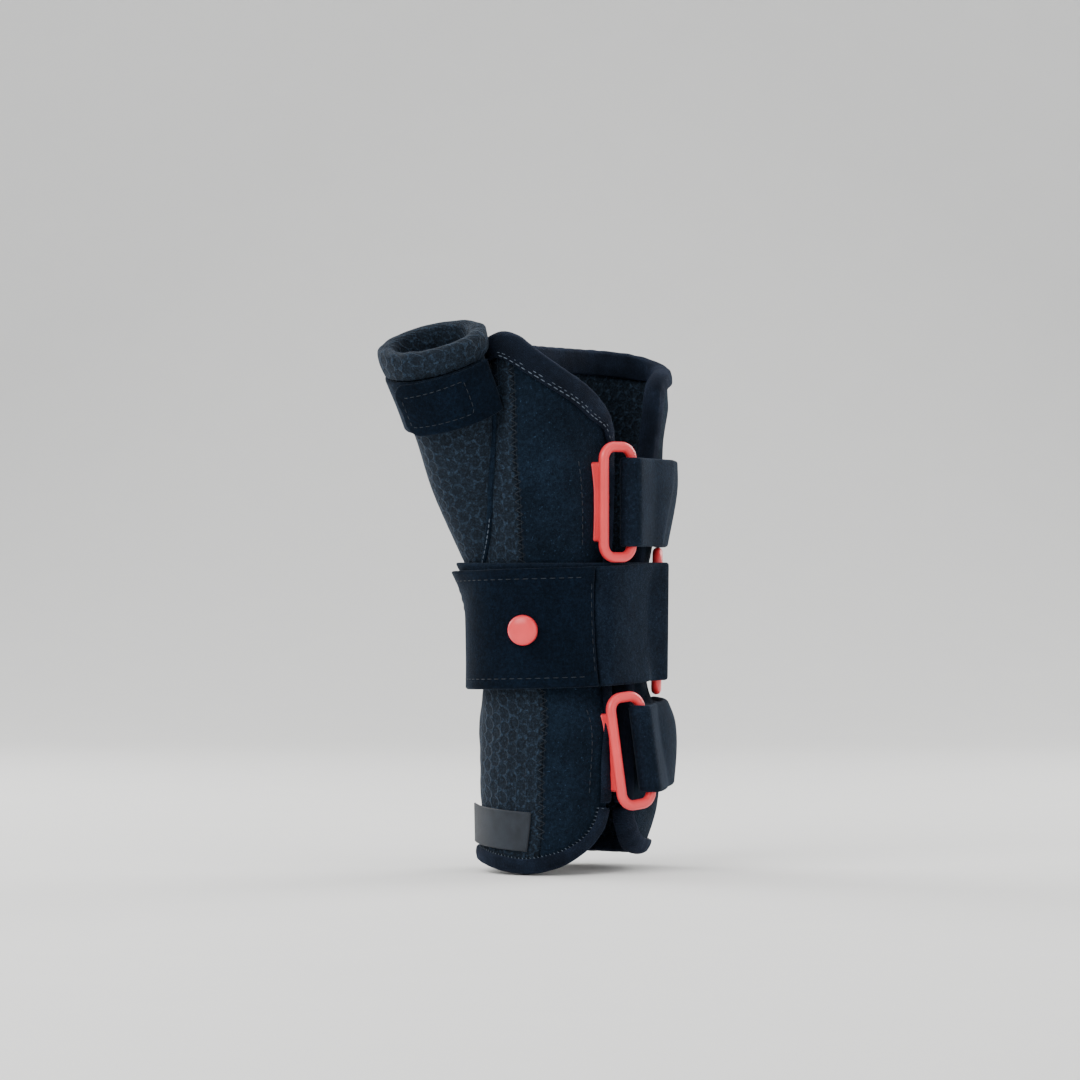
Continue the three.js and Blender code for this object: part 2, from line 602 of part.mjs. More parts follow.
function ringSlit(place, opening, way) {
  return toSolid(flange(place, (opening + 2 * WIRE) * FLANGE_SHARE, way, GAP));
}

// Straps

const SLANT = 1.13;          // how much wider a level cut of the leaning sleeve is

// The taut outline round the body, and round the sleeve's foot where it stands proud, at
// height z and lift millimetres out: the convex hull of both, as points in order
function tautOutline(z, lift) {
  const points = steps(0, 360, 72).slice(0, 72).map((turn) => skin(turn, z, lift));
  const rise = z / SLEEVE_RISE;
  if (rise > 0) {
    const cx = -SLEEVE_OUT * read(SLEEVE, 'rise', 'out', rise);
    const cy = -SLEEVE_NEAR * read(SLEEVE, 'rise', 'near', rise);
    const foot = THREE.MathUtils.smoothstep(rise, 0, 0.04);
    const radius = (SLEEVE_MOUTH * read(SLEEVE, 'rise', 'radius', rise) * foot + lift) * SLANT;
    steps(0, 360, 36).forEach((a) => points.push(
      new THREE.Vector3(cx + radius * Math.cos(rad(a)), cy + radius * Math.sin(rad(a)), z)));
  }
  points.sort((a, b) => a.x - b.x || a.y - b.y);
  const side = (list) => list.reduce((chain, p) => {
    while (chain.length > 1) {
      const [a, b] = chain.slice(-2);
      if ((b.x - a.x) * (p.y - a.y) - (b.y - a.y) * (p.x - a.x) > 0) break;
      chain.pop();
    }
    return [...chain, p];
  }, []);
  const lower = side(points);
  const upper = side([...points].reverse());
  return [...lower.slice(0, -1), ...upper.slice(0, -1)];
}

// Where the ray from the section's middle through a turn meets the taut outline
function tautPoint(turn, z, lift) {
  const middle = skin(0, z).lerp(skin(180, z), 0.5);
  const way = skin(turn, z).sub(middle);
  const outline = tautOutline(z, lift);
  for (let i = 0; i < outline.length; i += 1) {
    const a = outline[i].clone().sub(middle);
    const edge = outline[(i + 1) % outline.length].clone().sub(outline[i]);
    const det = way.x * edge.y - way.y * edge.x;
    const reach = (a.x * edge.y - a.y * edge.x) / det;
    const share = (a.x * way.y - a.y * way.x) / det;
    if (reach > 0 && share >= -1e-9 && share <= 1 + 1e-9) return middle.addScaledVector(way, reach);
  }
  return skin(turn, z, lift);
}

// How far a strap rides up where it passes over the bound edges of the dorsal opening
function edgeRise(turn, z) {
  const past = (angle) => THREE.MathUtils.smoothstep(angle, -14, -9);
  return (TAPE + TAPE_GAP) * Math.min(past(farToward(turn, z)), past(nearToward(turn, z)));
}
const wrapTurn = (turn) => ((turn + 180) % 360 + 360) % 360 - 180;
const farToward = (turn, z) => wrapTurn(turn) - wrapTurn(farEdge(z));
const nearToward = (turn, z) => wrapTurn(nearEdge(z)) - wrapTurn(turn);

// A strap on the body at a given layer: the station gives its two faces at a height. Near a
// ring it climbs to the bar's face, which lies toBar millimetres from the bar's middle
function bodyStation(turn, low, thick, place = null, toBar = 0) {
  return (z) => {
    let lift = low + edgeRise(turn, z);
    if (place) {
      const bar = footOf(freeBar(place, z), 0);
      const far = Math.abs(wrapTurn(turn) - bar.turn) / degreesPerMm(bar.turn, z);
      lift = Math.max(lift, bar.lift + toBar - STRAP_SLOPE * far);
    }
    return [tautPoint(turn, z, lift), tautPoint(turn, z, lift + thick)];
  };
}

// A strap folding round a ring's free bar, at a share of the half turn
function foldStation(place, share, thick) {
  return (z) => {
    const middle = freeBar(place, z);
    const way = place.out.clone().multiplyScalar(-Math.cos(Math.PI * share))
      .addScaledVector(place.across, -Math.sin(Math.PI * share));
    way.z = 0;
    way.normalize();
    const near = WIRE / 2 + GAP;
    return [middle.clone().addScaledVector(way, near + thick), middle.addScaledVector(way, near)];
  };
}

// How far past the half turn a strap stays on the bar before it leaves for the body
function foldExcess(place) {
  const { z } = place;
  const { turn } = footOf(freeBar(place, z), 0);
  const along = skin(turn + 1, z).sub(skin(turn - 1, z)).normalize();
  if (along.dot(place.across) < 0) along.negate();
  return (Math.asin(-along.dot(place.out)) + Math.atan(STRAP_SLOPE)) / Math.PI;
}

// A strip of cloth through stations; middle(i) is its middle height and half(i) its half width
function strip(stations, middle, half, across) {
  const faces = [[], []];
  stations.forEach((station, i) => {
    const heights = steps(middle(i) - half(i), middle(i) + half(i), across);
    const pairs = heights.map((z) => station(z));
    faces.forEach((face, side) => face.push(pairs.map((pair) => pair[side])));
  });
  return thickSheet(faces[0], faces[1]);
}

// A strap that starts on the body, folds round a free bar and comes back over itself
function foldedStrap({ place, under, over, width, up, drop, corner, across }) {
  const fold = steps(0, 1 + foldExcess(place), 9).map((share) => (
    foldStation(place, share, STRAP_THICK)));
  const near = WIRE / 2 + GAP;
  const inner = under.map((turn) => (
    bodyStation(turn, STRAP_GAP, STRAP_THICK, place, -near - STRAP_THICK)));
  const outer = over.map((turn) => {
    const station = bodyStation(turn, STRAP_GAP + GAP + STRAP_THICK, STRAP_THICK, place, near);
    return (z) => station(z).reverse();
  });
  const stations = [...inner, ...fold, ...outer];
  const firstOuter = inner.length + fold.length;
  const middle = (i) => (i < firstOuter ? up : up - drop * (i - firstOuter + 1) / over.length);
  const lengths = over.map((turn) => (
    Math.abs(turn - over[over.length - 1]) / degreesPerMm(turn, up)));
  const half = (i) => (i < firstOuter || !corner ? width / 2
    : width / 2 - endTrim(lengths[i - firstOuter], corner));
  return strip(stations, middle, half, across);
}

// Turns of a layer that ends with a rounded corner, going from a to b
function roundedTurns(a, b, count) {
  const way = Math.sign(b - a);
  return [...steps(a, b - way * 9, count), b - way * 5.5, b - way * 2.8, b - way * 1, b - way * 0.2, b];
}

const handStrap = () => foldedStrap({
  place: handPlace,
  under: [...steps(262, 320, 6), ...steps(324, 354, 7)],
  over: roundedTurns(352, 288, 10),
  width: HAND_STRAP_WIDTH,
  up: barHeight(handPlace),
  drop: HAND_STRAP_DROP,
  corner: TAB_CORNER,
  across: 3,
});

const forearmStrap = () => foldedStrap({
  place: forearmPlace,
  under: [...steps(262, 342, 8), ...steps(347, 357, 2)],
  over: roundedTurns(354, 288, 9),
  width: FOREARM_STRAP_WIDTH,
  up: barHeight(forearmPlace),
  drop: FOREARM_STRAP_DROP,
  corner: TAB_CORNER,
  across: 4,
});

const TAB_FROM = 31;
const TAB_TO = 150;
const TAB_LOW = STRAP_GAP + 3 * GAP + STRAP_THICK;

const wristStrap = () => foldedStrap({
  place: wristPlace,
  under: [...steps(212, 22, 15), ...steps(14, -16, 4)],
  over: steps(-14, TAB_FROM - 0.7, 9),
  width: WRIST_STRAP_WIDTH,
  up: WRIST_STRAP_UP,
  drop: WRIST_STRAP_DROP * TAB_START_DROP,
  corner: 0,
  across: 4,
});

function wristTab() {
  const turns = roundedTurns(TAB_FROM, TAB_TO, 14);
  const stations = turns.map((turn) => bodyStation(turn, TAB_LOW, TAB_THICK));
  const middle = (i) => WRIST_STRAP_UP - WRIST_STRAP_DROP * mix(TAB_START_DROP, 1, i / turns.length);
  const half = (i) => {
    const toEnd = (TAB_TO - turns[i]) / degreesPerMm(turns[i], WRIST_STRAP_UP);
    return WRIST_STRAP_WIDTH / 2 - endTrim(toEnd, TAB_CORNER);
  };
  return strip(stations, middle, half, 4);
}

// Small pieces

const BUTTON_TURN = 73.3;
const BUTTON_SEAT = 0.6;     // stands the flat foot clear of the curved tab

function strapButton() {
  const dome = steps(0, 90, 4).map((a) => new THREE.Vector2(
    BUTTON_RADIUS * Math.cos(rad(a)), BUTTON_RISE * (0.45 + 0.55 * Math.sin(rad(a)))));
  dome[dome.length - 1].x = 0;
  const profile = [new THREE.Vector2(0, 0), new THREE.Vector2(BUTTON_RADIUS, 0), ...dome];
  const geometry = new THREE.LatheGeometry(profile, 16);
  geometry.deleteAttribute('normal');
  geometry.deleteAttribute('uv');
  return fromSolid(toSolid(geometry));
}

// Sets the button's flat foot on the tab's outside, square to it
function seatButton(mesh) {
  const z = WRIST_STRAP_UP - WRIST_STRAP_DROP * 0.75;
  const low = TAB_LOW + TAB_THICK;
  const around = tautPoint(BUTTON_TURN + 8, z, low).sub(tautPoint(BUTTON_TURN - 8, z, low));
  const up = tautPoint(BUTTON_TURN, z + BUTTON_RADIUS, low)
    .sub(tautPoint(BUTTON_TURN, z - BUTTON_RADIUS, low));
  const out = up.cross(around).normalize();
  mesh.quaternion.setFromUnitVectors(new THREE.Vector3(0, 1, 0), out);
  mesh.position.copy(tautPoint(BUTTON_TURN, z, low)).addScaledVector(out, BUTTON_SEAT);
}

// A flag that lies on the cuff at its sewn end and stands off it at the free end
const LABEL = [
  { turn: 77, up: -0.823, lift: 0 }, { turn: 93, up: -0.818, lift: 0 },
  { turn: 108, up: -0.812, lift: 0.008 }, { turn: 123, up: -0.805, lift: 0.02 },
  { turn: 138, up: -0.795, lift: 0.045 },
];

function sideLabel() {
  const face = (extra) => LABEL.map(({ turn, up, lift }) => {
    const middle = up * CUFF_DROP;
    return steps(middle - LABEL_HEIGHT / 2, middle + LABEL_HEIGHT / 2, 2)
      .map((z) => skin(turn, z, GAP + lift * HALF_THICK + extra));
  });
  return thickSheet(face(LABEL_THICK), face(0));
}

// Colours and finishes
const finish = (color, roughness) => new THREE.MeshStandardMaterial({ color, roughness, metalness: 0 });
const velour = () => finish(0x171e2b, 0.95);
const mesh3d = () => finish(0x1c2330, 0.9);
const binding = () => finish(0x191f2c, 0.7);
const webbing = () => finish(0x1a2230, 0.95);
const coral = () => finish(0xe8323c, 0.35);
const grey = () => finish(0x3c424c, 0.6);

const group = new THREE.Group();

function add(name, geometry, material) {
  geometry.computeVertexNormals();
  const mesh = new THREE.Mesh(geometry, material);
  mesh.name = name;
  group.add(mesh);
  return mesh;
}

const forearmSlit = ringSlit(forearmPlace, FOREARM_OPENING, 1);
const nearSlits = ringSlit(handPlace, HAND_OPENING, 1).add(forearmSlit);
add('radial_panel', fromSolid(toSolid(panel(RADIAL)).subtract(nearSlits)), velour());
add('palmar_panel', fromSolid(toSolid(panel(PALMAR)).subtract(thumbHollow())), mesh3d());
const farSlit = ringSlit(wristPlace, WRIST_OPENING, -1);
add('ulnar_panel', fromSolid(toSolid(panel(ULNAR)).subtract(farSlit)), velour());
add('hand_binding', fromSolid(toSolid(handBinding()).subtract(forearmSlit)), binding());
add('cuff_binding', fromSolid(toSolid(cuffBinding()).subtract(forearmSlit)), binding());
add('thumb_sleeve', thumbSleeve(), mesh3d());
add('thumb_binding', thumbBinding(), binding());
add('thumb_band', thumbBand(), webbing());
add('thumb_tab', thumbTab(), webbing());
add('hand_strap', handStrap(), webbing());
add('wrist_strap', wristStrap(), webbing());
add('wrist_tab', wristTab(), webbing());
add('forearm_strap', forearmStrap(), webbing());
add('hand_ring', ring(handPlace, HAND_OPENING, 1), coral());
add('wrist_ring', ring(wristPlace, WRIST_OPENING, -1), coral());
add('forearm_ring', ring(forearmPlace, FOREARM_OPENING, 1), coral());
seatButton(add('strap_button', strapButton(), coral()));
add('side_label', sideLabel(), grey());

export default group;
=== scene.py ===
"""Thumb spica splint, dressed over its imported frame.

Every piece is worked out in millimetres on a grid and written to its mesh in metres. The body of
the splint is one rounded form: a point of it is given by its turn (degrees round it from the
middle of its back, by way of the thumb side), its height and its lift off the cloth.
"""
import math

import bmesh
import bpy
import numpy as np
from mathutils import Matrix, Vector


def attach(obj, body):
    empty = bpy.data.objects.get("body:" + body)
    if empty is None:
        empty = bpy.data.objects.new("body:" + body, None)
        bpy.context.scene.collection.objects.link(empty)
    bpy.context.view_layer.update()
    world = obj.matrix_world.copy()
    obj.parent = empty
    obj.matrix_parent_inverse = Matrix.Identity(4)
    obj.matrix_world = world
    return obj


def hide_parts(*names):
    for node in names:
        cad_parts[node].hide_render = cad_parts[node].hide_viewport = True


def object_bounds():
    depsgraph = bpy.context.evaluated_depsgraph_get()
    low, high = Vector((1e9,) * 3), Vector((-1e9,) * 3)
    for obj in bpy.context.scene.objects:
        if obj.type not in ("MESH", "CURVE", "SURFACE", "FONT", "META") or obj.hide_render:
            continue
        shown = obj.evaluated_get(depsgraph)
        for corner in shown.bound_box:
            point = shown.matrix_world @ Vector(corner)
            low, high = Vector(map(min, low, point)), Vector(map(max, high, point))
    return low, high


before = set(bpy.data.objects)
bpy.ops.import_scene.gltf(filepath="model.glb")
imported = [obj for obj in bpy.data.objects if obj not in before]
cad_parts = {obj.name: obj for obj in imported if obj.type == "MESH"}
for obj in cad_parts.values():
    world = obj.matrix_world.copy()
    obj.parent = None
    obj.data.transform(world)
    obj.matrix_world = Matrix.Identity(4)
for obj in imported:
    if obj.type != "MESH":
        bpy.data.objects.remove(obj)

bl_info = {
    "name": "Thumb spica splint",
    "version": (1, 0, 0),
    "blender": (4, 5, 0),
    "location": "View3D > Sidebar > Splint",
    "description": "Builds a padded wrist and thumb splint with three ringed straps",
    "category": "Object",
}

CAD_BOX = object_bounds()
MM = 0.001

# Form of the splint, in millimetres and degrees
CUFF_DROP = 76.0
RIM_RISE = 100.0
HALF_THICK = 28.0
HALF_BREADTH = 42.0
BACK_TURN = 33.0
SQUARENESS = 2.3
WALL = 2.8
GAP = 0.3
TAPE = 1.1
TAPE_GAP = 0.55
RIM_LEG = 7.2
LOBE_LEG = 4.0
EDGE_LEG = 3.3
CUFF_LEG = 3.6
THUMB_LEG = 7.0
RIM_WIDENS = (10, 24)
RIM_NARROWS = (255, 315)
LOBE_WIDENS = (0.55, 0.78)
TAPE_START_RISE = 0.6
RIM_DEPTH = 1.5
SLEEVE_WALL = 2.4
SLEEVE_MOUTH = 16.7
SLEEVE_RISE = 98.5
SLEEVE_OUT = 42.2
SLEEVE_NEAR = 32.5
FOOT_DEPTH = 1.012
BAND_WIDTH = 18.5
BAND_THICK = 1.8
BAND_DOWN = THUMB_LEG + 2 * GAP + BAND_WIDTH / 2
BAND_FROM = 29.0
BAND_TO = 308.0
THUMB_TAB_TO = 141.0
STRAP_THICK = 2.0
STRAP_GAP = 0.75
STRAP_SLOPE = 0.5
EDGE_RAMP = (-14, -8)
SLANT = 1.13
TAUT_HEIGHTS = np.arange(-20.0, 34.0, 1.0)
TAUT_FROM = (-19, -13)
TAUT_TO = (28, 32)
TAB_THICK = 2.0
HAND_STRAP_WIDTH = 29.4
HAND_STRAP_UP = 46.0
HAND_STRAP_DROP = 0.5
WRIST_STRAP_WIDTH = 39.4
WRIST_STRAP_UP = 6.3
WRIST_STRAP_DROP = 3.0
FOREARM_STRAP_WIDTH = 28.6
FOREARM_STRAP_DOWN = 36.5
FOREARM_STRAP_DROP = -1.6
TAB_CORNER = 4.5
TAB_FROM = 31.0
TAB_TO = 150.0
TAB_START_DROP = 0.4
TAB_CLEAR = 0.7
TAB_LOW = STRAP_GAP + 3 * GAP + STRAP_THICK
WIRE = 3.4
RING_REACH = 12.0
RING_CORNER = 4.3
RING_SLACK = 3.6
WRIST_SLACK = 3.2
HAND_OPENING = HAND_STRAP_WIDTH + RING_SLACK
FOREARM_OPENING = FOREARM_STRAP_WIDTH + RING_SLACK
WRIST_OPENING = WRIST_STRAP_WIDTH + WRIST_SLACK
FLANGE_THICK = 0.9
FLANGE_REACH = 9.5
FLANGE_SHARE = 0.66
SEAM_OVERLAP = 0.1
BAR_LIFT = TAPE_GAP + TAPE + GAP + WIRE / 2
BUTTON_RADIUS = 5.0
BUTTON_RISE = 3.0
BUTTON_TURN = 73.3
LABEL_HEIGHT = 13.0
LABEL_THICK = 0.8

# Studio: the floor's drop below the splint, its reach, where it starts to rise and how roundly
FLOOR_DROP = 0.2
FLOOR_REACH = 2500
FLOOR_BACK = 900
SWEEP = 700

# Stitch rows in millimetres, and their threads' radius and rise off the cloth
RIM_STITCH = {"pitch": 2.5, "dash": 2.0}
RIM_INSETS = (0.9, 1.9)
RIM_STITCH_TO = 104
HEM_PITCH = 1.45
SEAM_PITCH = 2.7
SEAM_HALF = 1.3
SLEEVE_STITCH = {"pitch": 1.9, "dash": 1.5}
THUMB_TAB_STITCH = {"pitch": 2.4, "dash": 1.7}
TAB_STITCH = {"pitch": 3.0, "dash": 2.1}
TAB_INSET = 3.4
RING_STITCH = {"pitch": 2.6, "dash": 1.8}
RING_STITCH_AWAY = 6.3
TAB_THREAD = (0.13, 0.12)
SLEEVE_THREAD = (0.16, 0.1)
THUMB_SIDE_THREAD = (0.11, 0.14)
FINGER_SIDE_THREAD = (0.14, 0.18)

# Columns of the tables below, after the first
SHIFT, THICK, NEAR, FAR = 1, 2, 3, 4
OUT, ASIDE, RADIUS = 1, 2, 3
MIDDLE, CURL = 1, 2
VALUE = 1

# Sections of the body: level (a share of CUFF_DROP below the wrist, of RIM_RISE above), shift
# and thick (shares of HALF_THICK), near and far (half breadths towards the thumb and towards the
# little finger, as shares of HALF_BREADTH)
SECTIONS = np.array([
    (-1.00, -0.023, 0.795, 0.679, 0.760),
    (-0.79, 0.067, 0.908, 0.726, 0.830),
    (-0.59, 0.095, 0.953, 0.745, 0.850),
    (-0.37, 0.101, 0.966, 0.750, 0.830),
    (-0.21, 0.057, 0.848, 0.750, 0.780),
    (0.00, 0.030, 0.806, 0.750, 0.750),
    (0.16, 0.030, 0.802, 0.786, 0.790),
    (0.30, 0.042, 0.860, 0.845, 0.870),
    (0.50, 0.080, 0.839, 0.940, 1.050),
    (0.64, 0.143, 0.707, 0.988, 1.080),
    (0.80, 0.205, 0.707, 1.000, 1.085),
    (1.02, 0.188, 0.700, 0.952, 1.020),
])
# Edges of the cloth: level, turn
NEAR_EDGE = np.array([
    (-0.71, 25.5), (-0.43, 26.5), (-0.22, 18), (-0.04, 14.3), (0.13, 12.6), (0.30, 15.5),
    (0.47, 14.3), (0.58, 11.5), (0.66, 9.2),
])
FAR_EDGE = np.array([
    (-0.72, 370), (-0.43, 372.8), (-0.22, 360.2), (-0.04, 352.4), (0.13, 346.3), (0.30, 346.4),
    (0.47, 343), (0.64, 334.5), (0.72, 334.5), (0.80, 335),
])
# The rim and the cuff's hem: turn, level
RIM = np.array([
    (9.2, 0.660), (13.5, 0.722), (21, 0.778), (33, 0.838), (48, 0.889), (68, 0.952),
    (80, 0.982), (90, 0.997), (102, 1.005), (118, 0.995), (140, 0.980), (180, 0.975),
    (220, 0.970), (250, 0.960), (270, 0.945), (290, 0.925), (306, 0.905), (320, 0.890),
    (328, 0.872), (333, 0.842), (335, 0.800),
])
CUFF = np.array([
    (25.5, -0.710), (27, -0.790), (31, -0.855), (38, -0.908), (50, -0.955), (74, -0.987),
    (103, -0.974), (130, -0.950), (180, -0.940), (230, -0.935), (270, -0.935), (320, -0.930),
    (340, -0.915), (352, -0.880), (362, -0.820), (368, -0.770), (370, -0.720),
])
# Where velour meets mesh, on the thumb side and on the little-finger side: level, turn
THUMB_SIDE_SEAM = np.array([
    (-0.98, 66.5), (-0.71, 70), (-0.44, 70.4), (-0.22, 65.5), (0.07, 69), (0.26, 75.5),
    (0.54, 76), (0.76, 83), (1.00, 91),
])
FINGER_SIDE_SEAM = np.array([(-0.94, 292), (0, 285), (0.94, 276)])
# The sleeve: rise, out and aside are shares of the mouth's place, radius of SLEEVE_MOUTH
SLEEVE = np.array([
    (0.000, 0.285, 0.160, 0.660),
    (0.160, 0.345, 0.245, 0.690),
    (0.284, 0.475, 0.350, 0.700),
    (0.457, 0.615, 0.490, 0.820),
    (0.650, 0.750, 0.660, 0.885),
    (0.812, 0.862, 0.815, 0.920),
    (0.914, 0.950, 0.915, 0.940),
    (1.000, 1.000, 1.000, 1.000),
])
# The flag label: turn, middle height as a share of CUFF_DROP, lift as a share of HALF_THICK
LABEL = np.array([
    (77, -0.823, 0.0), (93, -0.818, 0.0), (108, -0.812, 0.008), (123, -0.805, 0.02),
    (138, -0.795, 0.045),
])

BACK = np.array([math.cos(math.radians(BACK_TURN)), -math.sin(math.radians(BACK_TURN)), 0.0])
SIDE = np.array([math.sin(math.radians(BACK_TURN)), math.cos(math.radians(BACK_TURN)), 0.0])
UP = np.array([0.0, 0.0, 1.0])


# Curves and the body's form

def curve(table, column, at):
    """A cubic through a table's rows whose slope at a row is that of its two neighbours' chord,
    held flat past both ends."""
    keys, values = table[:, 0], table[:, column]
    count = len(keys)
    before = np.maximum(np.arange(count) - 1, 0)
    after = np.minimum(np.arange(count) + 1, count - 1)
    slope = (values[after] - values[before]) / (keys[after] - keys[before])
    at = np.clip(np.asarray(at, float), keys[0], keys[-1])
    i = np.clip(np.searchsorted(keys, at, side="right") - 1, 0, count - 2)
    span = keys[i + 1] - keys[i]
    t = (at - keys[i]) / span
    return ((2 * t**3 - 3 * t**2 + 1) * values[i] + (t**3 - 2 * t**2 + t) * slope[i] * span
            + (3 * t**2 - 2 * t**3) * values[i + 1] + (t**3 - t**2) * slope[i + 1] * span)


def smooth_step(x, low, high):
    """0 below low, 1 above high and a smooth S between."""
    t = np.clip((np.asarray(x, float) - low) / (high - low), 0, 1)
    return t * t * (3 - 2 * t)


def unit(v):
    """Vectors scaled to length 1."""
    return v / np.maximum(np.linalg.norm(v, axis=-1, keepdims=True), 1e-12)


def mix(a, b, t):
    """The point a share t of the way from a to b."""
    return a + (b - a) * t


def ease(values, rounds):
    """Evens a run of values in place, each with its two neighbours. Both ends stay."""
    for _ in range(rounds):
        values[1:-1] = (values[:-2] + 2 * values[1:-1] + values[2:]) / 4


def ease_loop(values, rounds):
    """A closed run of values, each evened with its two neighbours."""
    for _ in range(rounds):
        values = (np.roll(values, 1, 0) + 2 * values + np.roll(values, -1, 0)) / 4
    return values


def steps_along(points):
    """The lengths of a polyline's steps."""
    return np.linalg.norm(np.diff(points, axis=0), axis=1)


def run_along(points):
    """The length along a polyline at each of its points."""
    return np.concatenate([[0], np.cumsum(steps_along(points))])


def between(at, run, rows):
    """Rows of a table, read between their places along a run."""
    return np.stack([np.interp(at, run, column) for column in rows.T], -1)


def level_of(z):
    """A height as a share of the drop below the wrist or of the rise above it."""
    return np.where(np.asarray(z) < 0, np.asarray(z) / CUFF_DROP, np.asarray(z) / RIM_RISE)


def height_of(level):
    """The height of a level."""
    return np.where(np.asarray(level) < 0, np.asarray(level) * CUFF_DROP,
                    np.asarray(level) * RIM_RISE)


def skin(turn, z, lift=0.0):
    """A point of the body: a superellipse of half thickness and half breadth read from the
    sections at that height, moved out along its own normal by lift."""
    turn, z, lift = np.broadcast_arrays(*(np.asarray(v, float) for v in (turn, z, lift)))
    level = level_of(z)
    shift = HALF_THICK * curve(SECTIONS, SHIFT, level)
    thick = HALF_THICK * curve(SECTIONS, THICK, level)
    c, s = np.cos(np.radians(turn)), -np.sin(np.radians(turn))
    breadth = HALF_BREADTH * np.where(s < 0, curve(SECTIONS, NEAR, level),
                                      curve(SECTIONS, FAR, level))
    k = (np.abs(c)**SQUARENESS + np.abs(s)**SQUARENESS) ** (-1 / SQUARENESS)
    out_c = np.sign(c) * np.abs(c * k)**(SQUARENESS - 1) / thick
    out_s = np.sign(s) * np.abs(s * k)**(SQUARENESS - 1) / breadth
    size = np.hypot(out_c, out_s)
    back = thick * c * k + lift * out_c / size
    side = breadth * s * k + lift * out_s / size
    return np.stack([shift + back * BACK[0] + side * SIDE[0],
                     back * BACK[1] + side * SIDE[1], z], -1)


def degrees_per_mm(turn, z):
    """How much turn makes one millimetre of cloth."""
    return 2 / np.linalg.norm(skin(turn + 1, z) - skin(turn - 1, z), axis=-1)


def near_edge(z):
    """The turn of the dorsal opening's edge on the thumb side."""
    return curve(NEAR_EDGE, VALUE, level_of(z))


def far_edge(z):
    """The turn of the dorsal opening's edge on the little-finger side."""
    return curve(FAR_EDGE, VALUE, level_of(z))


def ripple(u, v, length, seed, waves=7):
    """Soft unevenness from about -1 to 1: a sum of sine waves of about the given length that run
    in seeded directions."""
    random = np.random.default_rng(seed)
    total = 0
    for _ in range(waves):
        heading = random.uniform(0, 2 * math.pi)
        wave = length * random.uniform(0.7, 1.5)
        phase = random.uniform(0, 2 * math.pi)
        total = total + np.sin(2 * math.pi * (u * math.cos(heading) + v * math.sin(heading))
                               / wave + phase)
    return total / math.sqrt(2 * waves)


# Meshes

def write_mesh(name, points, quads, uv=None):
    """A mesh from points in millimetres, with its faces turned to point out of what they close."""
    points = np.asarray(points, float)
    quads = np.asarray(quads)
    a, b, c, d = (points[quads[:, k]] for k in range(4))
    volume = (np.einsum("ij,ij->i", a, np.cross(b, c)) + np.einsum("ij,ij->i", a, np.cross(c, d)))
    if volume.sum() < 0:
        quads = quads[:, ::-1]
    mesh = bpy.data.meshes.new(name)
    mesh.from_pydata((points * MM).tolist(), [], quads.tolist())
    if uv is not None:
        layer = mesh.uv_layers.new(name="cloth")
        corners = np.empty(len(mesh.loops), np.int32)
        mesh.loops.foreach_get("vertex_index", corners)
        layer.data.foreach_set("uv", (np.asarray(uv)[corners] * MM).astype(np.float32).ravel())
    merge = bmesh.new()
    merge.from_mesh(mesh)
    bmesh.ops.remove_doubles(merge, verts=merge.verts, dist=2e-7)
    merge.to_mesh(mesh)
    merge.free()
    mesh.polygons.foreach_set("use_smooth", np.ones(len(mesh.polygons), bool))
    piece = bpy.data.objects.new(name, mesh)
    bpy.context.scene.collection.objects.link(piece)
    return piece


def grid_faces(rows, cols, wrap_rows=False, wrap_cols=False):
    """The quads of a grid of points numbered row by row."""
    i = np.arange(rows if wrap_rows else rows - 1)[:, None]
    j = np.arange(cols if wrap_cols else cols - 1)[None, :]
    here, below = i * cols, ((i + 1) % rows) * cols
    right = (j + 1) % cols
    return np.stack([here + j, below + j, below + right, here + right], -1).reshape(-1, 4)


def lengths_along(points, axis):
    """Running length of a grid of points along one axis."""
    step = np.linalg.norm(np.diff(points, axis=axis), axis=-1)
    pad = [(0, 0), (0, 0)]
    pad[axis] = (1, 0)
    return np.pad(np.cumsum(step, axis=axis), pad)


def slab(name, outer, inner, rim, looped=False):
    """A closed sheet between two grids of points. Its thickness falls to nothing at every free
    edge along a quarter circle of radius rim."""
    middle, half = (outer + inner) / 2, (outer - inner) / 2
    along = lengths_along(middle, 0)
    across = lengths_along(middle, 1)
    to_edge = np.minimum(across, across[:, -1:] - across)
    if not looped:
        to_edge = np.minimum(to_edge, np.minimum(along, along[-1:] - along))
    share = np.sqrt(1 - (1 - np.clip(to_edge / rim, 0, 1)) ** 2)[..., None]
    rows, cols = middle.shape[:2]
    faces = grid_faces(rows, cols, looped)
    points = np.concatenate([(middle + half * share).reshape(-1, 3),
                             (middle - half * share).reshape(-1, 3)])
    quads = np.concatenate([faces, faces[:, ::-1] + rows * cols])
    uv = np.stack([along, across], -1).reshape(-1, 2)
    return write_mesh(name, points, quads, np.concatenate([uv, uv]))


def tube_mesh(centre, normal, binormal, radius, sides):
    """Points and quads of a tube carried along a closed path."""
    a = np.linspace(0, 2 * math.pi, sides, endpoint=False)
    ring = (normal[:, None] * np.cos(a)[None, :, None]
            + binormal[:, None] * np.sin(a)[None, :, None])
    points = (centre[:, None] + radius * ring).reshape(-1, 3)
    return points, grid_faces(len(centre), sides, True, True)


def crowded(count, length, rim):
    """Shares from 0 to 1, even in the middle and closer over the last rim millimetres."""
    close = rim / length * (1 - np.cos(np.linspace(0, math.pi / 2, 5)))
    return np.concatenate([close, np.linspace(rim / length, 1 - rim / length, count)[1:-1],
                           1 - close[::-1]])


def steps(a, b, size):
    """Values from a to b about size apart."""
    return np.linspace(a, b, max(2, int(round(abs(b - a) / size)) + 1))


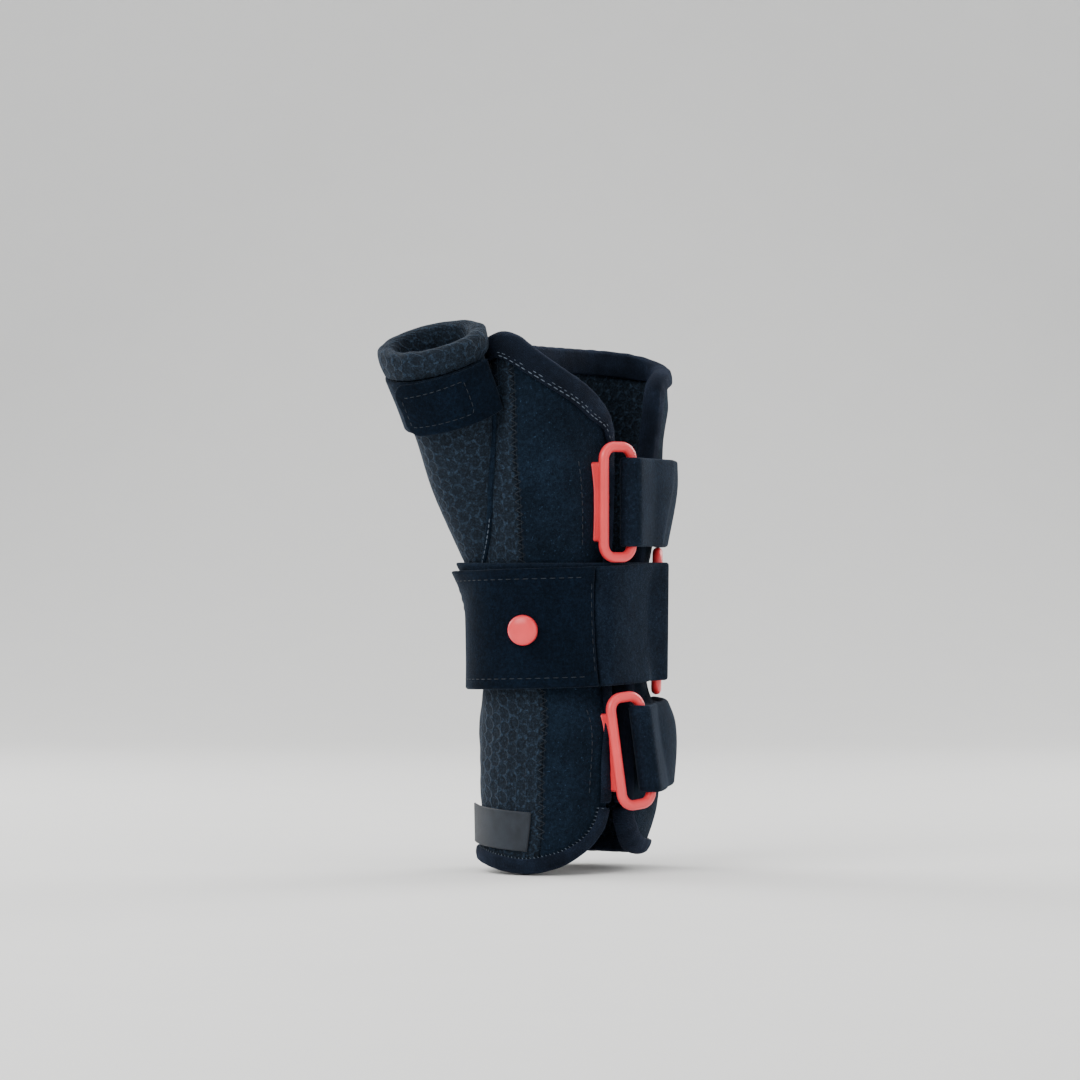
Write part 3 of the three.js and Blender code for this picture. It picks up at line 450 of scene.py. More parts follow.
def filled_tube(name, rings):
    """A closed solid through rings of points, capped by rings that shrink onto their middles."""
    middle = rings.mean(1, keepdims=True)
    caps = [middle[:1] + 0 * rings[:1], rings, middle[-1:] + 0 * rings[-1:]]
    points = np.concatenate(caps)
    rows, cols = points.shape[:2]
    return write_mesh(name, points.reshape(-1, 3), grid_faces(rows, cols, False, True))


def cut(piece, tool):
    """Takes one solid out of another and deletes the tool."""
    modifier = piece.modifiers.new("cut", "BOOLEAN")
    modifier.operation = "DIFFERENCE"
    modifier.solver = "MANIFOLD"
    modifier.object = tool
    bpy.context.view_layer.update()
    depsgraph = bpy.context.evaluated_depsgraph_get()
    mesh = bpy.data.meshes.new_from_object(piece.evaluated_get(depsgraph))
    if not len(mesh.polygons):
        raise RuntimeError(f"{piece.name}: the cut left nothing")
    piece.modifiers.clear()
    old, piece.data = piece.data, mesh
    bpy.data.meshes.remove(old)
    mesh.name = piece.name
    bpy.data.objects.remove(tool)


def threads(name, starts, ends, normals, radius, rise):
    """Stitches: each is a short round thread that bows off the cloth from its start to its end
    in half a sine wave, with its ends sunk a little."""
    count, rings, sides = len(starts), 6, 6
    t = np.linspace(0, 1, rings)
    along = unit(ends - starts)
    across = unit(np.cross(along, normals))
    height = rise * np.sin(math.pi * t) - 0.6 * radius
    middle = (starts[:, None] + (ends - starts)[:, None] * t[None, :, None]
              + normals[:, None] * height[None, :, None])
    thin = np.sqrt(np.clip(1 - (2 * np.abs(t - 0.5)) ** 6, 0.02, 1)) * radius
    a = np.linspace(0, 2 * math.pi, sides, endpoint=False)
    ring = (across[:, None, None] * np.cos(a)[None, None, :, None]
            + normals[:, None, None] * np.sin(a)[None, None, :, None])
    points = middle[:, :, None] + ring * thin[None, :, None, None]
    block = grid_faces(rings, sides, False, True)
    cap = np.array([[0, 1, 2, 3], [0, 3, 4, 5]])
    block = np.concatenate([block, cap, (cap + (rings - 1) * sides)[:, ::-1]])
    offset = np.arange(count)[:, None, None] * rings * sides
    return write_mesh(name, points.reshape(-1, 3), (block[None] + offset).reshape(-1, 4))


# Cloth patches of the body

def upright_edge(low, high, turn_at, aside=0.0):
    """An edge from the cuff to the rim, moved along the cloth by aside millimetres."""
    def at(v):
        z = mix(low, high, v)
        turn = turn_at(z)
        return np.stack([turn + aside * degrees_per_mm(turn, z), z], -1)
    return at


def seam_edge(table, aside):
    """The edge that two panels share."""
    low = float(height_of(curve(CUFF, VALUE, table[0, 1])))
    high = float(height_of(curve(RIM, VALUE, table[-1, 1])))
    return upright_edge(low, high, lambda z: curve(table, VALUE, level_of(z)), aside)


NEAR_LOW, NEAR_HIGH = (float(height_of(v)) for v in (NEAR_EDGE[0, 0], NEAR_EDGE[-1, 0]))
FAR_LOW, FAR_HIGH = (float(height_of(v)) for v in (FAR_EDGE[0, 0], FAR_EDGE[-1, 0]))


def patch(left, right, u, v):
    """A Coons patch: the blend across plus the blend up less the blend of the four corners."""
    u, v = u[:, None], v[None, :]
    ends = [edge(np.array([0.0, 1.0])) for edge in (left, right)]

    def border(k, share):
        turn = mix(ends[0][k, 0], ends[1][k, 0], share)
        z = height_of(curve(CUFF if k == 0 else RIM, VALUE, turn))
        return np.stack([turn + 0 * z, z], -1)

    low, high = border(0, u), border(1, u)
    across = mix(left(v[0])[None], right(v[0])[None], u[..., None])
    up = mix(low, high, v[..., None])
    corners = mix(mix(ends[0][0], ends[0][1], v[..., None]), mix(ends[1][0], ends[1][1],
                                                                 v[..., None]), u[..., None])
    return up + across - corners


def panel(name, left, right, width, step, relief):
    """A padded wall: the patch at lift 0 with its relief, and the same patch a wall further in."""
    u = crowded(int(width / step), width, WALL / 2)
    v = crowded(int((RIM_RISE + CUFF_DROP) / step), RIM_RISE + CUFF_DROP, WALL / 2)
    turn, z = np.moveaxis(patch(left, right, u, v), -1, 0)
    bulge = relief(turn, z)
    return slab(name, skin(turn, z, bulge), skin(turn, z, -WALL + 0.4 * bulge), WALL / 2)


def seam_dip(turn, z, table, deep, wide):
    """How far the cloth sinks beside a seam: a bell across it."""
    away = (turn - curve(table, VALUE, level_of(z))) / degrees_per_mm(turn, z)
    return -deep * np.exp(-(away / wide) ** 2)


def cloth_relief(seed):
    """Soft hollows and swells of padded cloth, flat where a binding holds it."""
    def at(turn, z):
        u = turn * 0.5
        edge = np.minimum(z - height_of(curve(CUFF, VALUE, turn)),
                          height_of(curve(RIM, VALUE, turn)) - z)
        free = smooth_step(edge, 6, 16)
        near = smooth_step(np.abs(turn - near_edge(z)), 8, 20)
        far = smooth_step(np.abs(turn - far_edge(z)), 8, 20)
        free = free * near * far
        bulge = (0.30 * ripple(u, z, 26, seed) + 0.12 * ripple(u, z, 9, seed + 1)) * free
        for table in (THUMB_SIDE_SEAM, FINGER_SIDE_SEAM):
            bulge = bulge + seam_dip(turn, z, table, 0.35, 1.3)
        return bulge
    return at


def honeycomb(u, v, wide, tall):
    """From -0.5 at the nets' lines to 1 in the cells' middles: three cosines 60 degrees apart."""
    x, y = 2 * math.pi * u / wide, 2 * math.pi * v / tall
    return (np.cos(x) + np.cos(0.5 * x + y) + np.cos(0.5 * x - y)) / 3


def mesh_relief(seed):
    """Padded cloth with the hollows of the spacer mesh's cells."""
    base, size = cloth_relief(seed), sizes()

    def at(turn, z):
        cells = honeycomb(turn * 0.5, z, size["cell_width"], size["cell_height"])
        return base(turn, z) - 0.12 * np.clip(cells, 0, 1)
    return at


# Bindings

def loop_path():
    """The whole edge of the cloth as turn and height: up the near edge, round the rim, down the
    far edge and back round the cuff, evenly spaced and with its corners eased."""
    near = np.linspace(NEAR_LOW, NEAR_HIGH, 160)
    far = np.linspace(FAR_HIGH, FAR_LOW, 160)
    rim, cuff = np.linspace(RIM[0, 0], RIM[-1, 0], 500), np.linspace(CUFF[-1, 0], CUFF[0, 0], 500)
    turn = np.concatenate([near_edge(near), rim[1:], far_edge(far)[1:], cuff[1:-1]])
    z = np.concatenate([near, height_of(curve(RIM, VALUE, rim))[1:], far[1:],
                        height_of(curve(CUFF, VALUE, cuff))[1:-1]])
    points = skin(turn, z)
    run = run_along(np.concatenate([points, points[:1]]))
    even = np.linspace(0, run[-1], 800, endpoint=False)
    turn = np.interp(even, run, np.append(turn, turn[0]))
    z = np.interp(even, run, np.append(z, z[0]))
    return ease_loop(turn, 6), ease_loop(z, 6)


def edge_frame(turn, z):
    """At each point of the loop, the steps in turn and height that make one millimetre of cloth
    straight in from the edge."""
    points = skin(turn, z)
    along = unit(np.roll(points, -1, 0) - np.roll(points, 1, 0))
    around = skin(turn + 0.5, z) - skin(turn - 0.5, z)
    up = skin(turn, z + 0.5) - skin(turn, z - 0.5)
    inward = -np.cross(unit(np.cross(around, up)), along)
    aa, bb, ab = ((p * q).sum(-1) for p, q in ((around, around), (up, up), (around, up)))
    ia, ib = (inward * around).sum(-1), (inward * up).sum(-1)
    det = aa * bb - ab * ab
    return (ia * bb - ib * ab) / det, (ib * aa - ia * ab) / det


def from_edge(path, pick, inward, lift):
    """Points that lie inward millimetres in from the loop's picked stations, at a lift."""
    turn, z, turn_step, z_step = (values[pick] for values in path)
    return skin(turn[:, None] + inward * turn_step[:, None], z[:, None] + inward * z_step[:, None],
                lift)


def leg_at(turn, z, rim_part):
    """How far a binding reaches in: wide round the rim, narrower on the finger side's lobe."""
    wide = mix(EDGE_LEG, RIM_LEG, smooth_step(turn, *RIM_WIDENS))
    wide = mix(wide, LOBE_LEG, smooth_step(turn, *RIM_NARROWS))
    lobe = mix(EDGE_LEG, LOBE_LEG, smooth_step(level_of(z), *LOBE_WIDENS))
    return np.where(rim_part, wide, np.where(turn > 180, lobe, EDGE_LEG))


def tape_profile(leg, wall):
    """A tape folded over an edge, from one leg's end round the nose to the other's: its middle
    and its outward direction, each as inward and lift, for legs of the given lengths."""
    share = crowded(9, 10, 0.8)
    nose = np.linspace(0, math.pi, 13)[1:-1]
    face = TAPE_GAP + TAPE / 2
    half = wall / 2 + face
    leg = np.asarray(leg, float)[:, None]
    one, flat = np.ones_like(leg), 0 * share
    inward = np.concatenate([leg * share[None, ::-1], -face * np.sin(nose)[None] * one,
                             leg * share[None]], 1)
    lift = one * np.concatenate([flat + face, half * np.cos(nose) - wall / 2,
                                 flat - wall - face])[None]
    out_inward = np.concatenate([flat, -np.sin(nose), flat])
    out_lift = np.concatenate([flat + 1, np.cos(nose), flat - 1])
    return inward, lift, out_inward, out_lift


def folded_tape(name, legs, wall, place, swell, crease, looped=False):
    """Tape folded over an edge, swollen between its own edges and unevenly creased. place gives
    points from inward and lift, and crease a height from the share across the tape."""
    inward, lift, out_inward, out_lift = tape_profile(legs, wall)
    share = np.linspace(-1, 1, inward.shape[1])[None]
    puff = swell * np.sin(math.pi * np.clip(inward / legs[:, None], 0, 1)) + crease(share)
    half = TAPE / 2 / np.hypot(out_inward, out_lift)
    outer, inner = (place(inward + away * out_inward, lift + away * out_lift)
                    for away in (half + puff, -half))
    return slab(name, outer, inner, TAPE / 2, looped)


def bind(name, path, pick, legs):
    """Folded tape along the picked stations of the loop."""
    station = 0.8 * np.arange(len(legs))[:, None]
    return folded_tape(name, legs, WALL,
                       lambda inward, lift: from_edge(path, pick, inward, lift), 0.30,
                       lambda share: 0.10 * ripple(station, 5 * share, 5.5, 31))


# Thumb sleeve

def sleeve_axis():
    """The sleeve's middle line, its tangent and its radius against the length from the mouth."""
    rise = np.linspace(1, 0, 400)
    centre = np.stack([-SLEEVE_OUT * curve(SLEEVE, OUT, rise),
                       -SLEEVE_NEAR * curve(SLEEVE, ASIDE, rise), SLEEVE_RISE * rise], -1)
    ease(centre, 40)
    tangent = unit(-np.gradient(centre, axis=0))
    return run_along(centre), centre, tangent, SLEEVE_MOUTH * curve(SLEEVE, RADIUS, rise)


AXIS = sleeve_axis()
SLEEVE_LENGTH = AXIS[0][-1]


def sleeve(around, down, lift=0.0):
    """A point of the sleeve: a circle round the middle line, down millimetres from the mouth,
    at the angle around from the side next to the body by way of the front."""
    around, down, lift = np.broadcast_arrays(*(np.asarray(v, float) for v in (around, down, lift)))
    run, centre, tangent, radius = AXIS
    at, axis = between(down, run, centre), unit(between(down, run, tangent))
    at = at + axis * np.maximum(-down, 0)[..., None]
    right = unit(np.array([1.0, 0, 0]) - axis * axis[..., :1])
    front = np.cross(right, axis)
    reach = (np.interp(down, run, radius) + lift)[..., None]
    angle = np.radians(around)[..., None]
    return at + reach * (right * np.cos(angle) + front * np.sin(angle))


def body_fill(name, lift):
    """The space that the body fills, lift millimetres out from the cloth's outside."""
    turn, z = np.linspace(0, 360, 180, endpoint=False), np.linspace(-CUFF_DROP / 2, 110, 90)
    return filled_tube(name, skin(turn[None], z[:, None], lift))


def body_depth(points):
    """How far inside the body points lie, as a share: below 1 inside, above 1 outside."""
    level = level_of(points[..., 2])
    shift = HALF_THICK * curve(SECTIONS, SHIFT, level)
    offset = points - np.stack([shift, 0 * level, 0 * level], -1)
    back = np.abs(offset @ BACK) / (HALF_THICK * curve(SECTIONS, THICK, level))
    aside = offset @ SIDE
    reach = np.where(aside < 0, curve(SECTIONS, NEAR, level), curve(SECTIONS, FAR, level))
    side = np.abs(aside) / (HALF_BREADTH * reach)
    return (back**SQUARENESS + side**SQUARENESS) ** (1 / SQUARENESS)


def sleeve_foot(around, lift):
    """How far down each line of the sleeve meets the body."""
    down = np.linspace(8, SLEEVE_LENGTH, 900)
    depth = body_depth(sleeve(np.asarray(around)[:, None], down[None], lift))
    inside = depth < FOOT_DEPTH
    first = np.where(inside.any(1), inside.argmax(1), len(down) - 1)
    return down[first]


# Straps

def wrap(turn):
    """A turn brought to between -180 and 180."""
    return (np.asarray(turn, float) + 180) % 360 - 180


def edge_rise(turn, z):
    """How far a strap rides up over the bound edges of the dorsal opening."""
    far = smooth_step(wrap(turn) - wrap(far_edge(z)), *EDGE_RAMP)
    near = smooth_step(wrap(near_edge(z)) - wrap(turn), *EDGE_RAMP)
    return (TAPE + TAPE_GAP) * np.minimum(far, near)


def taut_table():
    """The taut outline round the body and the sleeve's foot, for every height and turn: the
    hull's support in each direction is the largest reach of the section's points."""
    turns = np.arange(0.0, 360.0, 1.0)
    heading = np.radians(turns)
    ways = np.stack([np.cos(heading), np.sin(heading)], -1)
    places = []
    for z in TAUT_HEIGHTS:
        body = skin(turns, z)[:, :2]
        support = (body @ ways.T).max(0)
        if z > 0:
            rise = z / SLEEVE_RISE
            centre = np.array([-SLEEVE_OUT * curve(SLEEVE, OUT, rise),
                               -SLEEVE_NEAR * curve(SLEEVE, ASIDE, rise)])
            radius = (SLEEVE_MOUTH * curve(SLEEVE, RADIUS, rise) * smooth_step(rise, 0, 0.04)
                      * SLANT)
            support = np.maximum(support, centre @ ways.T + radius)
        support = ease_loop(support, 12)
        slope = (np.roll(support, -1) - np.roll(support, 1)) / math.radians(2)
        hull = ways * support[:, None] + np.stack([-ways[:, 1], ways[:, 0]], -1) * slope[:, None]
        middle = (skin(0, z)[:2] + skin(180, z)[:2]) / 2
        polar = np.unwrap(np.arctan2(hull[:, 1] - middle[1], hull[:, 0] - middle[0]))
        wanted = np.arctan2(body[:, 1] - middle[1], body[:, 0] - middle[0])
        wanted = (wanted - polar[0]) % (2 * math.pi) + polar[0]
        closed = np.append(polar, polar[0] + 2 * math.pi)
        index = np.interp(wanted, closed, np.arange(361.0))
        rows = np.concatenate([hull, ways], 1)
        places.append(between(index, np.arange(361.0), np.concatenate([rows, rows[:1]])))
    return np.array(places)


TAUT = taut_table()


def taut(turn, z, lift):
    """A point of the taut outline, moved out by lift."""
    row = np.clip(z - TAUT_HEIGHTS[0], 0, len(TAUT_HEIGHTS) - 1.001)
    column = np.asarray(turn, float) % 360
    i, j = row.astype(int), column.astype(int)
    s, t = (row - i)[..., None], (column - j)[..., None]
    k = (j + 1) % 360
    value = mix(mix(TAUT[i, j], TAUT[i, k], t), mix(TAUT[i + 1, j], TAUT[i + 1, k], t), s)
    flat = value[..., :2] + value[..., 2:] * np.asarray(lift)[..., None]
    return np.concatenate([flat, np.asarray(z, float)[..., None]], -1)


def on_body(turn, z, lift):
    """A strap's place: on the taut outline at the wrist, on the body elsewhere."""
    turn, z, lift = np.broadcast_arrays(*(np.asarray(v, float) for v in (turn, z, lift)))
    snug = smooth_step(z, *TAUT_FROM) * (1 - smooth_step(z, *TAUT_TO))
    return mix(skin(turn, z, lift), taut(turn, z, lift), snug[..., None])


class RingPlace:
    """A ring's place: the sewn bar's middle, the bars' direction, the way to the free bar and
    the way out of the body."""

    def __init__(self, turn, z, lift, heading, lean):
        self.bar = unit(np.array([lean, 0.0, 1.0]))
        across = np.array([math.cos(math.radians(heading)), math.sin(math.radians(heading)), 0.0])
        self.across = unit(across - self.bar * (across @ self.bar))
        out = unit(np.cross(self.across, self.bar))
        self.out = out if out @ BACK > 0 else -out
        self.turn, self.z, self.lift = turn, z, lift
        self.middle = skin(turn, z, lift)

    def free_bar(self, z):
        """The free bar's middle at heights z."""
        start = self.middle + self.across * RING_REACH
        return start + self.bar * ((np.asarray(z, float)[..., None] - start[2]) / self.bar[2])

    def height(self):
        """The height of the free bar's middle."""
        return float(self.middle[2] + RING_REACH * self.across[2])

    def foot(self, z):
        """The turn and lift of the free bar over the body, found by repeated tangent steps."""
        point = self.free_bar(z)
        turn = np.zeros(np.shape(z))
        for _ in range(8):
            along = skin(turn + 0.5, z) - skin(turn - 0.5, z)
            turn = turn + ((point - skin(turn, z)) * along).sum(-1) / (along * along).sum(-1)
        out = skin(turn, z, 1.0) - skin(turn, z)
        return turn, ((point - skin(turn, z)) * out).sum(-1)


HAND = RingPlace(turn=24.5, z=HAND_STRAP_UP, lift=BAR_LIFT, heading=39, lean=0.0)
FOREARM = RingPlace(turn=27.5, z=-FOREARM_STRAP_DOWN, lift=BAR_LIFT + 1.0, heading=35, lean=-0.13)
WRIST = RingPlace(turn=314.0, z=WRIST_STRAP_UP, lift=BAR_LIFT + 1.7, heading=-92, lean=0.01)


def layer(turns, z, low, place=None, to_bar=0.0):
    """The lift of a strap's inner face: low over the cloth, over the bindings where it crosses
    them, and up an even slope to the bar that it folds round."""
    lift = low + edge_rise(turns, z)
    if place is not None:
        bar_turn, bar_lift = place.foot(z)
        away = np.abs(wrap(turns) - bar_turn) / degrees_per_mm(bar_turn, z)
        lift = np.maximum(lift, bar_lift + to_bar - STRAP_SLOPE * away)
    return lift


def corner_trim(to_end):
    """How much narrower each side of a strap is near its rounded end."""
    left = np.clip(to_end, 0, TAB_CORNER)
    return TAB_CORNER - np.sqrt(np.maximum(TAB_CORNER**2 - (TAB_CORNER - left) ** 2, 0))


def rows_across(width):
    """Places across a strap from -1 to 1, closer at its edges."""
    return 2 * crowded(18, width, 1.2) - 1


def bar_fold(place, z, near):
    """A strap's outer and inner face round the free bar, from its first run over to its second.
    It starts where the slope that leads up to the bar touches the fold."""
    up = place.height()
    foot, _ = place.foot(np.array(up))
    along = unit(skin(foot + 1, up) - skin(foot - 1, up))
    along = along * np.sign(along @ place.across)
    excess = (math.asin(-along @ place.out) + math.atan(STRAP_SLOPE)) / math.pi
    angle = math.pi * np.linspace(0, 1 + excess, 26)[:, None]
    way = unit((-np.cos(angle) * place.out - np.sin(angle) * place.across) * (1 - UP))
    bar = place.free_bar(z)[None]
    return [bar + way[:, None] * (near + STRAP_THICK), bar + way[:, None] * near]


def folded_strap(place, under, over, width, drop, rounded, wave, seed):
    """A strap from its hidden start, round the free bar and back over itself: the stations of
    the three runs are joined, eased along the strap and given its thickness."""
    a = rows_across(width)
    near = WIRE / 2 + GAP
    up = place.height()
    z = up + a * width / 2
    turns = steps(*under, 1.5)[:, None]
    lift = layer(turns, z[None], STRAP_GAP, place, -near - STRAP_THICK)
    inner_run = [on_body(turns, z[None], lift), on_body(turns, z[None], lift + STRAP_THICK)]
    fold = bar_fold(place, z, near)
    turns = steps(*over, 1.2)
    to_end = np.abs(turns - over[1]) / degrees_per_mm(turns, up)
    trim = corner_trim(to_end) if rounded else 0 * to_end
    progress = (np.arange(len(turns)) + 1) / len(turns)
    z = (up - drop * progress)[:, None] + a[None] * (width / 2 - trim)[:, None]
    turns, to_end = turns[:, None], to_end[:, None]
    swell = 0.5 + 0.5 * ripple(to_end + 0 * z, z, 24, seed)
    lift = (layer(turns, z, STRAP_GAP + GAP + STRAP_THICK, place, near)
            + wave * swell * smooth_step(to_end, 2, 12))
    outer_run = [on_body(turns, z, lift + STRAP_THICK), on_body(turns, z, lift)]
    faces = [np.concatenate(parts) for parts in zip(inner_run, fold, outer_run)]
    for face in faces:
        ease(face, 4)
    return faces


# Finishes

class Finish:
    """A node tree under construction for one procedural material."""

    def __init__(self, name):
        self.material = bpy.data.materials.new(name)
        self.material.use_nodes = True
        self.tree = self.material.node_tree
        self.tree.nodes.clear()
        self.output = self.tree.nodes.new("ShaderNodeOutputMaterial")
        self.shader = self.tree.nodes.new("ShaderNodeBsdfPrincipled")
        self.tree.links.new(self.shader.outputs[0], self.output.inputs[0])

    def node(self, kind, inputs=None, **settings):
        """Adds a node, sets its options and fills its inputs with values or links."""
        node = self.tree.nodes.new("ShaderNode" + kind)
        for key, value in settings.items():
            setattr(node, key, value)
        for key, value in (inputs or {}).items():
            if isinstance(value, bpy.types.NodeSocket):
                self.tree.links.new(value, node.inputs[key])
            else:
                node.inputs[key].default_value = value
        return node

    def math(self, operation, a, b=0.0, c=0.0):
        """One arithmetic step."""
        return self.node("Math", {0: a, 1: b, 2: c}, operation=operation).outputs[0]

    def weigh(self, *pairs):
        """The sum of values times their weights."""
        parts = [self.math("MULTIPLY", value, weight) for value, weight in pairs]
        total = parts[0]
        for part in parts[1:]:
            total = self.math("ADD", total, part)
        return total

    def noise(self, place, scale, detail=2.0, rough=0.5):
        """Soft noise of about the given scale."""
        return self.node("TexNoise", {"Vector": place, "Scale": scale, "Detail": detail,
                                      "Roughness": rough}).outputs[0]

    def ramp(self, factor, stops):
        """A colour ramp through (place, colour) stops."""
        node = self.node("ValToRGB", {0: factor})
        elements = node.color_ramp.elements
        while len(elements) < len(stops):
            elements.new(0.5)
        for element, (place, colour) in zip(elements, stops):
            element.position = place
            element.color = (*colour, 1)
        return node.outputs[0]

    def tones(self, factor, colour, stops):
        """A ramp through darker and lighter shades of a colour, as (place, factor) stops."""
        return self.ramp(factor, [(place, shade(colour, share)) for place, share in stops])

    def bump(self, height, distance, strength=1.0, below=None):
        """A bump of the given depth in metres."""
        inputs = {"Height": height, "Distance": distance, "Strength": strength}
        if below is not None:
            inputs["Normal"] = below
        return self.node("Bump", inputs).outputs[0]

    def set(self, **values):
        """Fills the shader's sockets by name, with spaces written as underscores."""
        for key, value in values.items():
            socket = self.shader.inputs[key.replace("_", " ")]
            if isinstance(value, bpy.types.NodeSocket):
                self.tree.links.new(value, socket)
            else:
                socket.default_value = value
        return self.material


def shade(colour, factor):
    """A colour made darker or lighter."""
    return tuple(min(1.0, c * factor) for c in colour[:3])


CLOTH_SHEEN = (0.50, 0.66, 0.90, 1)


def brushed_cloth(name, colour, fleck, nap):
    """Brushed loop cloth: fine fibres, soft darker patches where the nap lies another way, and
    pale lint."""
    f = Finish(name)
    place = f.node("TexCoord").outputs["Object"]
    fibre = f.noise(place, 2600, 3, 0.7)
    tuft = f.noise(place, 900, 2, 0.6)
    cloud = f.noise(place, 70, 3, 0.6)
    mixed = f.weigh((fibre, 0.45), (tuft, 0.35), (cloud, 0.28))
    body = f.tones(mixed, colour, [(0.40, 0.45), (0.54, 1), (0.66, 1.9), (0.80, 3.2)])
    lint = f.noise(place, 1500, 1, 0.5)
    spot = f.ramp(lint, [(0.69, (0, 0, 0)), (0.76, (1, 1, 1))])
    both = f.node("Mix", {0: f.math("MULTIPLY", spot, fleck), 6: body,
                          7: (*shade(colour, 9.0), 1)}, data_type="RGBA")
    relief = f.bump(f.weigh((fibre, 0.6), (tuft, 0.6)), 0.0005 * nap, 0.8)
    relief = f.bump(cloud, 0.0009, 0.35, relief)
    return f.set(Base_Color=both.outputs[2], Roughness=0.95, Sheen_Weight=0.10,
                 Sheen_Roughness=0.3, Sheen_Tint=CLOTH_SHEEN,
                 Specular_IOR_Level=0.06, Normal=relief)


def spacer_mesh(name, colour, wide, tall):
    """Spacer mesh: a net of pale yarn round small hexagonal cells on the cloth's own map, the
    cells darkened as painted shade in their hollows, with knitted loops over all of it."""
    f = Finish(name)
    uv = f.node("UVMap", uv_map="cloth").outputs[0]
    place = f.node("TexCoord").outputs["Object"]
    warp = f.noise(place, 160, 2, 0.5)
    parts = f.node("SeparateXYZ", {0: uv})
    shift = f.math("MULTIPLY", f.math("SUBTRACT", warp, 0.5), 0.0010)
    x = f.math("MULTIPLY", f.math("ADD", parts.outputs[0], shift), 2 * math.pi / (wide * MM))
    y = f.math("MULTIPLY", f.math("ADD", parts.outputs[1], shift), 2 * math.pi / (tall * MM))
    half = f.math("MULTIPLY", x, 0.5)
    waves = f.math("COSINE", x)
    waves = f.math("ADD", waves, f.math("COSINE", f.math("ADD", half, y)))
    waves = f.math("ADD", waves, f.math("COSINE", f.math("SUBTRACT", half, y)))
    # net is 1 on the pale yarn lines and 0 in the cells' middles; in the colour its low cells are
    # painted shade in the hollows
    net = f.ramp(f.math("DIVIDE", f.math("ADD", waves, 1.5), 4.5),
                 [(0.0, (1, 1, 1)), (0.10, (0.8, 0.8, 0.8)), (0.17, (0.1, 0.1, 0.1)),
                  (0.26, (0, 0, 0))])
    yarn = f.noise(place, 2100, 3, 0.75)
    loops = f.noise(place, 1150, 2, 0.6)
    worn = f.ramp(loops, [(0.38, (0.45, 0.45, 0.45)), (0.58, (1, 1, 1))])
    # the net term lightens the yarn lines and leaves the cells darker as painted shade
    tone = f.weigh((yarn, 0.62), (loops, 0.36), (f.math("MULTIPLY", net, worn), 0.11))
    body = f.tones(tone, colour, [(0.38, 0.4), (0.50, 1), (0.62, 2.4), (0.78, 5.0)])
    relief = f.bump(f.weigh((net, 0.7), (loops, 0.5)), 0.00045, 0.9)
    relief = f.bump(yarn, 0.00025, 0.7, relief)
    return f.set(Base_Color=body, Roughness=0.85, Sheen_Weight=0.10, Sheen_Roughness=0.3,
                 Sheen_Tint=CLOTH_SHEEN, Specular_IOR_Level=0.12, Normal=relief)


def smooth_tape(name, colour):
    """Stretch binding: fine ribs across the tape on its own map, with a soft bloom."""
    f = Finish(name)
    uv = f.node("UVMap", uv_map="cloth").outputs[0]
    place = f.node("TexCoord").outputs["Object"]
    along = f.node("SeparateXYZ", {0: uv}).outputs[0]
    ribs = f.math("SINE", f.math("MULTIPLY", along, 2 * math.pi / 0.00065))
    grain = f.noise(place, 2400, 2, 0.6)
    cloud = f.noise(place, 120, 3, 0.6)
    tone = f.weigh((grain, 0.45), (cloud, 0.55))
    body = f.tones(tone, colour, [(0.36, 0.5), (0.52, 1), (0.70, 2.2)])
    relief = f.bump(ribs, 0.00008, 0.6)
    relief = f.bump(grain, 0.00030, 0.8, relief)
    return f.set(Base_Color=body, Roughness=0.92, Sheen_Weight=0.07, Sheen_Roughness=0.4,
                 Sheen_Tint=(0.35, 0.50, 0.95, 1), Specular_IOR_Level=0.08, Normal=relief)


def sewing_thread(name, colour):
    """Polyester thread, a little uneven in tone."""
    f = Finish(name)
    place = f.node("TexCoord").outputs["Object"]
    tone = f.noise(place, 900, 2, 0.6)
    body = f.tones(tone, colour, [(0.35, 0.6), (0.65, 1.2)])
    relief = f.bump(f.noise(place, 6000, 1, 0.5), 0.0001, 0.4)
    return f.set(Base_Color=body, Roughness=0.75, Sheen_Weight=0.05, Specular_IOR_Level=0.25,
                 Normal=relief)


def moulded_plastic(name, colour):
    """Coral moulded plastic: a satin skin with a faint orange-peel grain and rubbed high spots."""
    f = Finish(name)
    place = f.node("TexCoord").outputs["Object"]
    cloud = f.noise(place, 90, 3, 0.55)
    grain = f.noise(place, 1400, 2, 0.5)
    body = f.tones(cloud, colour, [(0.30, 0.88), (0.70, 1.06)])
    rough = f.node("MapRange", {0: grain, 3: 0.30, 4: 0.46}).outputs[0]
    relief = f.bump(grain, 0.00004, 0.5)
    relief = f.bump(cloud, 0.0002, 0.2, relief)
    return f.set(Base_Color=body, Roughness=rough, Subsurface_Weight=0.12,
                 Subsurface_Radius=(0.003, 0.0012, 0.0008), Coat_Weight=0.15, Coat_Roughness=0.3,
                 Normal=relief)


def woven_label(name, colour):
    """Woven satin label: fine crossing yarns on its own map."""
    f = Finish(name)
    uv = f.node("UVMap", uv_map="cloth").outputs[0]
    place = f.node("TexCoord").outputs["Object"]
    parts = f.node("SeparateXYZ", {0: uv})
    warp = f.math("SINE", f.math("MULTIPLY", parts.outputs[0], 2 * math.pi / 0.0004))
    weft = f.math("SINE", f.math("MULTIPLY", parts.outputs[1], 2 * math.pi / 0.0005))
    weave = f.math("MULTIPLY", warp, weft)
    cloud = f.noise(place, 200, 2, 0.5)
    tone = f.weigh((weave, 0.12), (cloud, 1.0))
    body = f.tones(tone, colour, [(0.30, 0.75), (0.70, 1.3)])
    return f.set(Base_Color=body, Roughness=0.6, Sheen_Weight=0.08, Specular_IOR_Level=0.2,
                 Normal=f.bump(weave, 0.00006, 0.6))


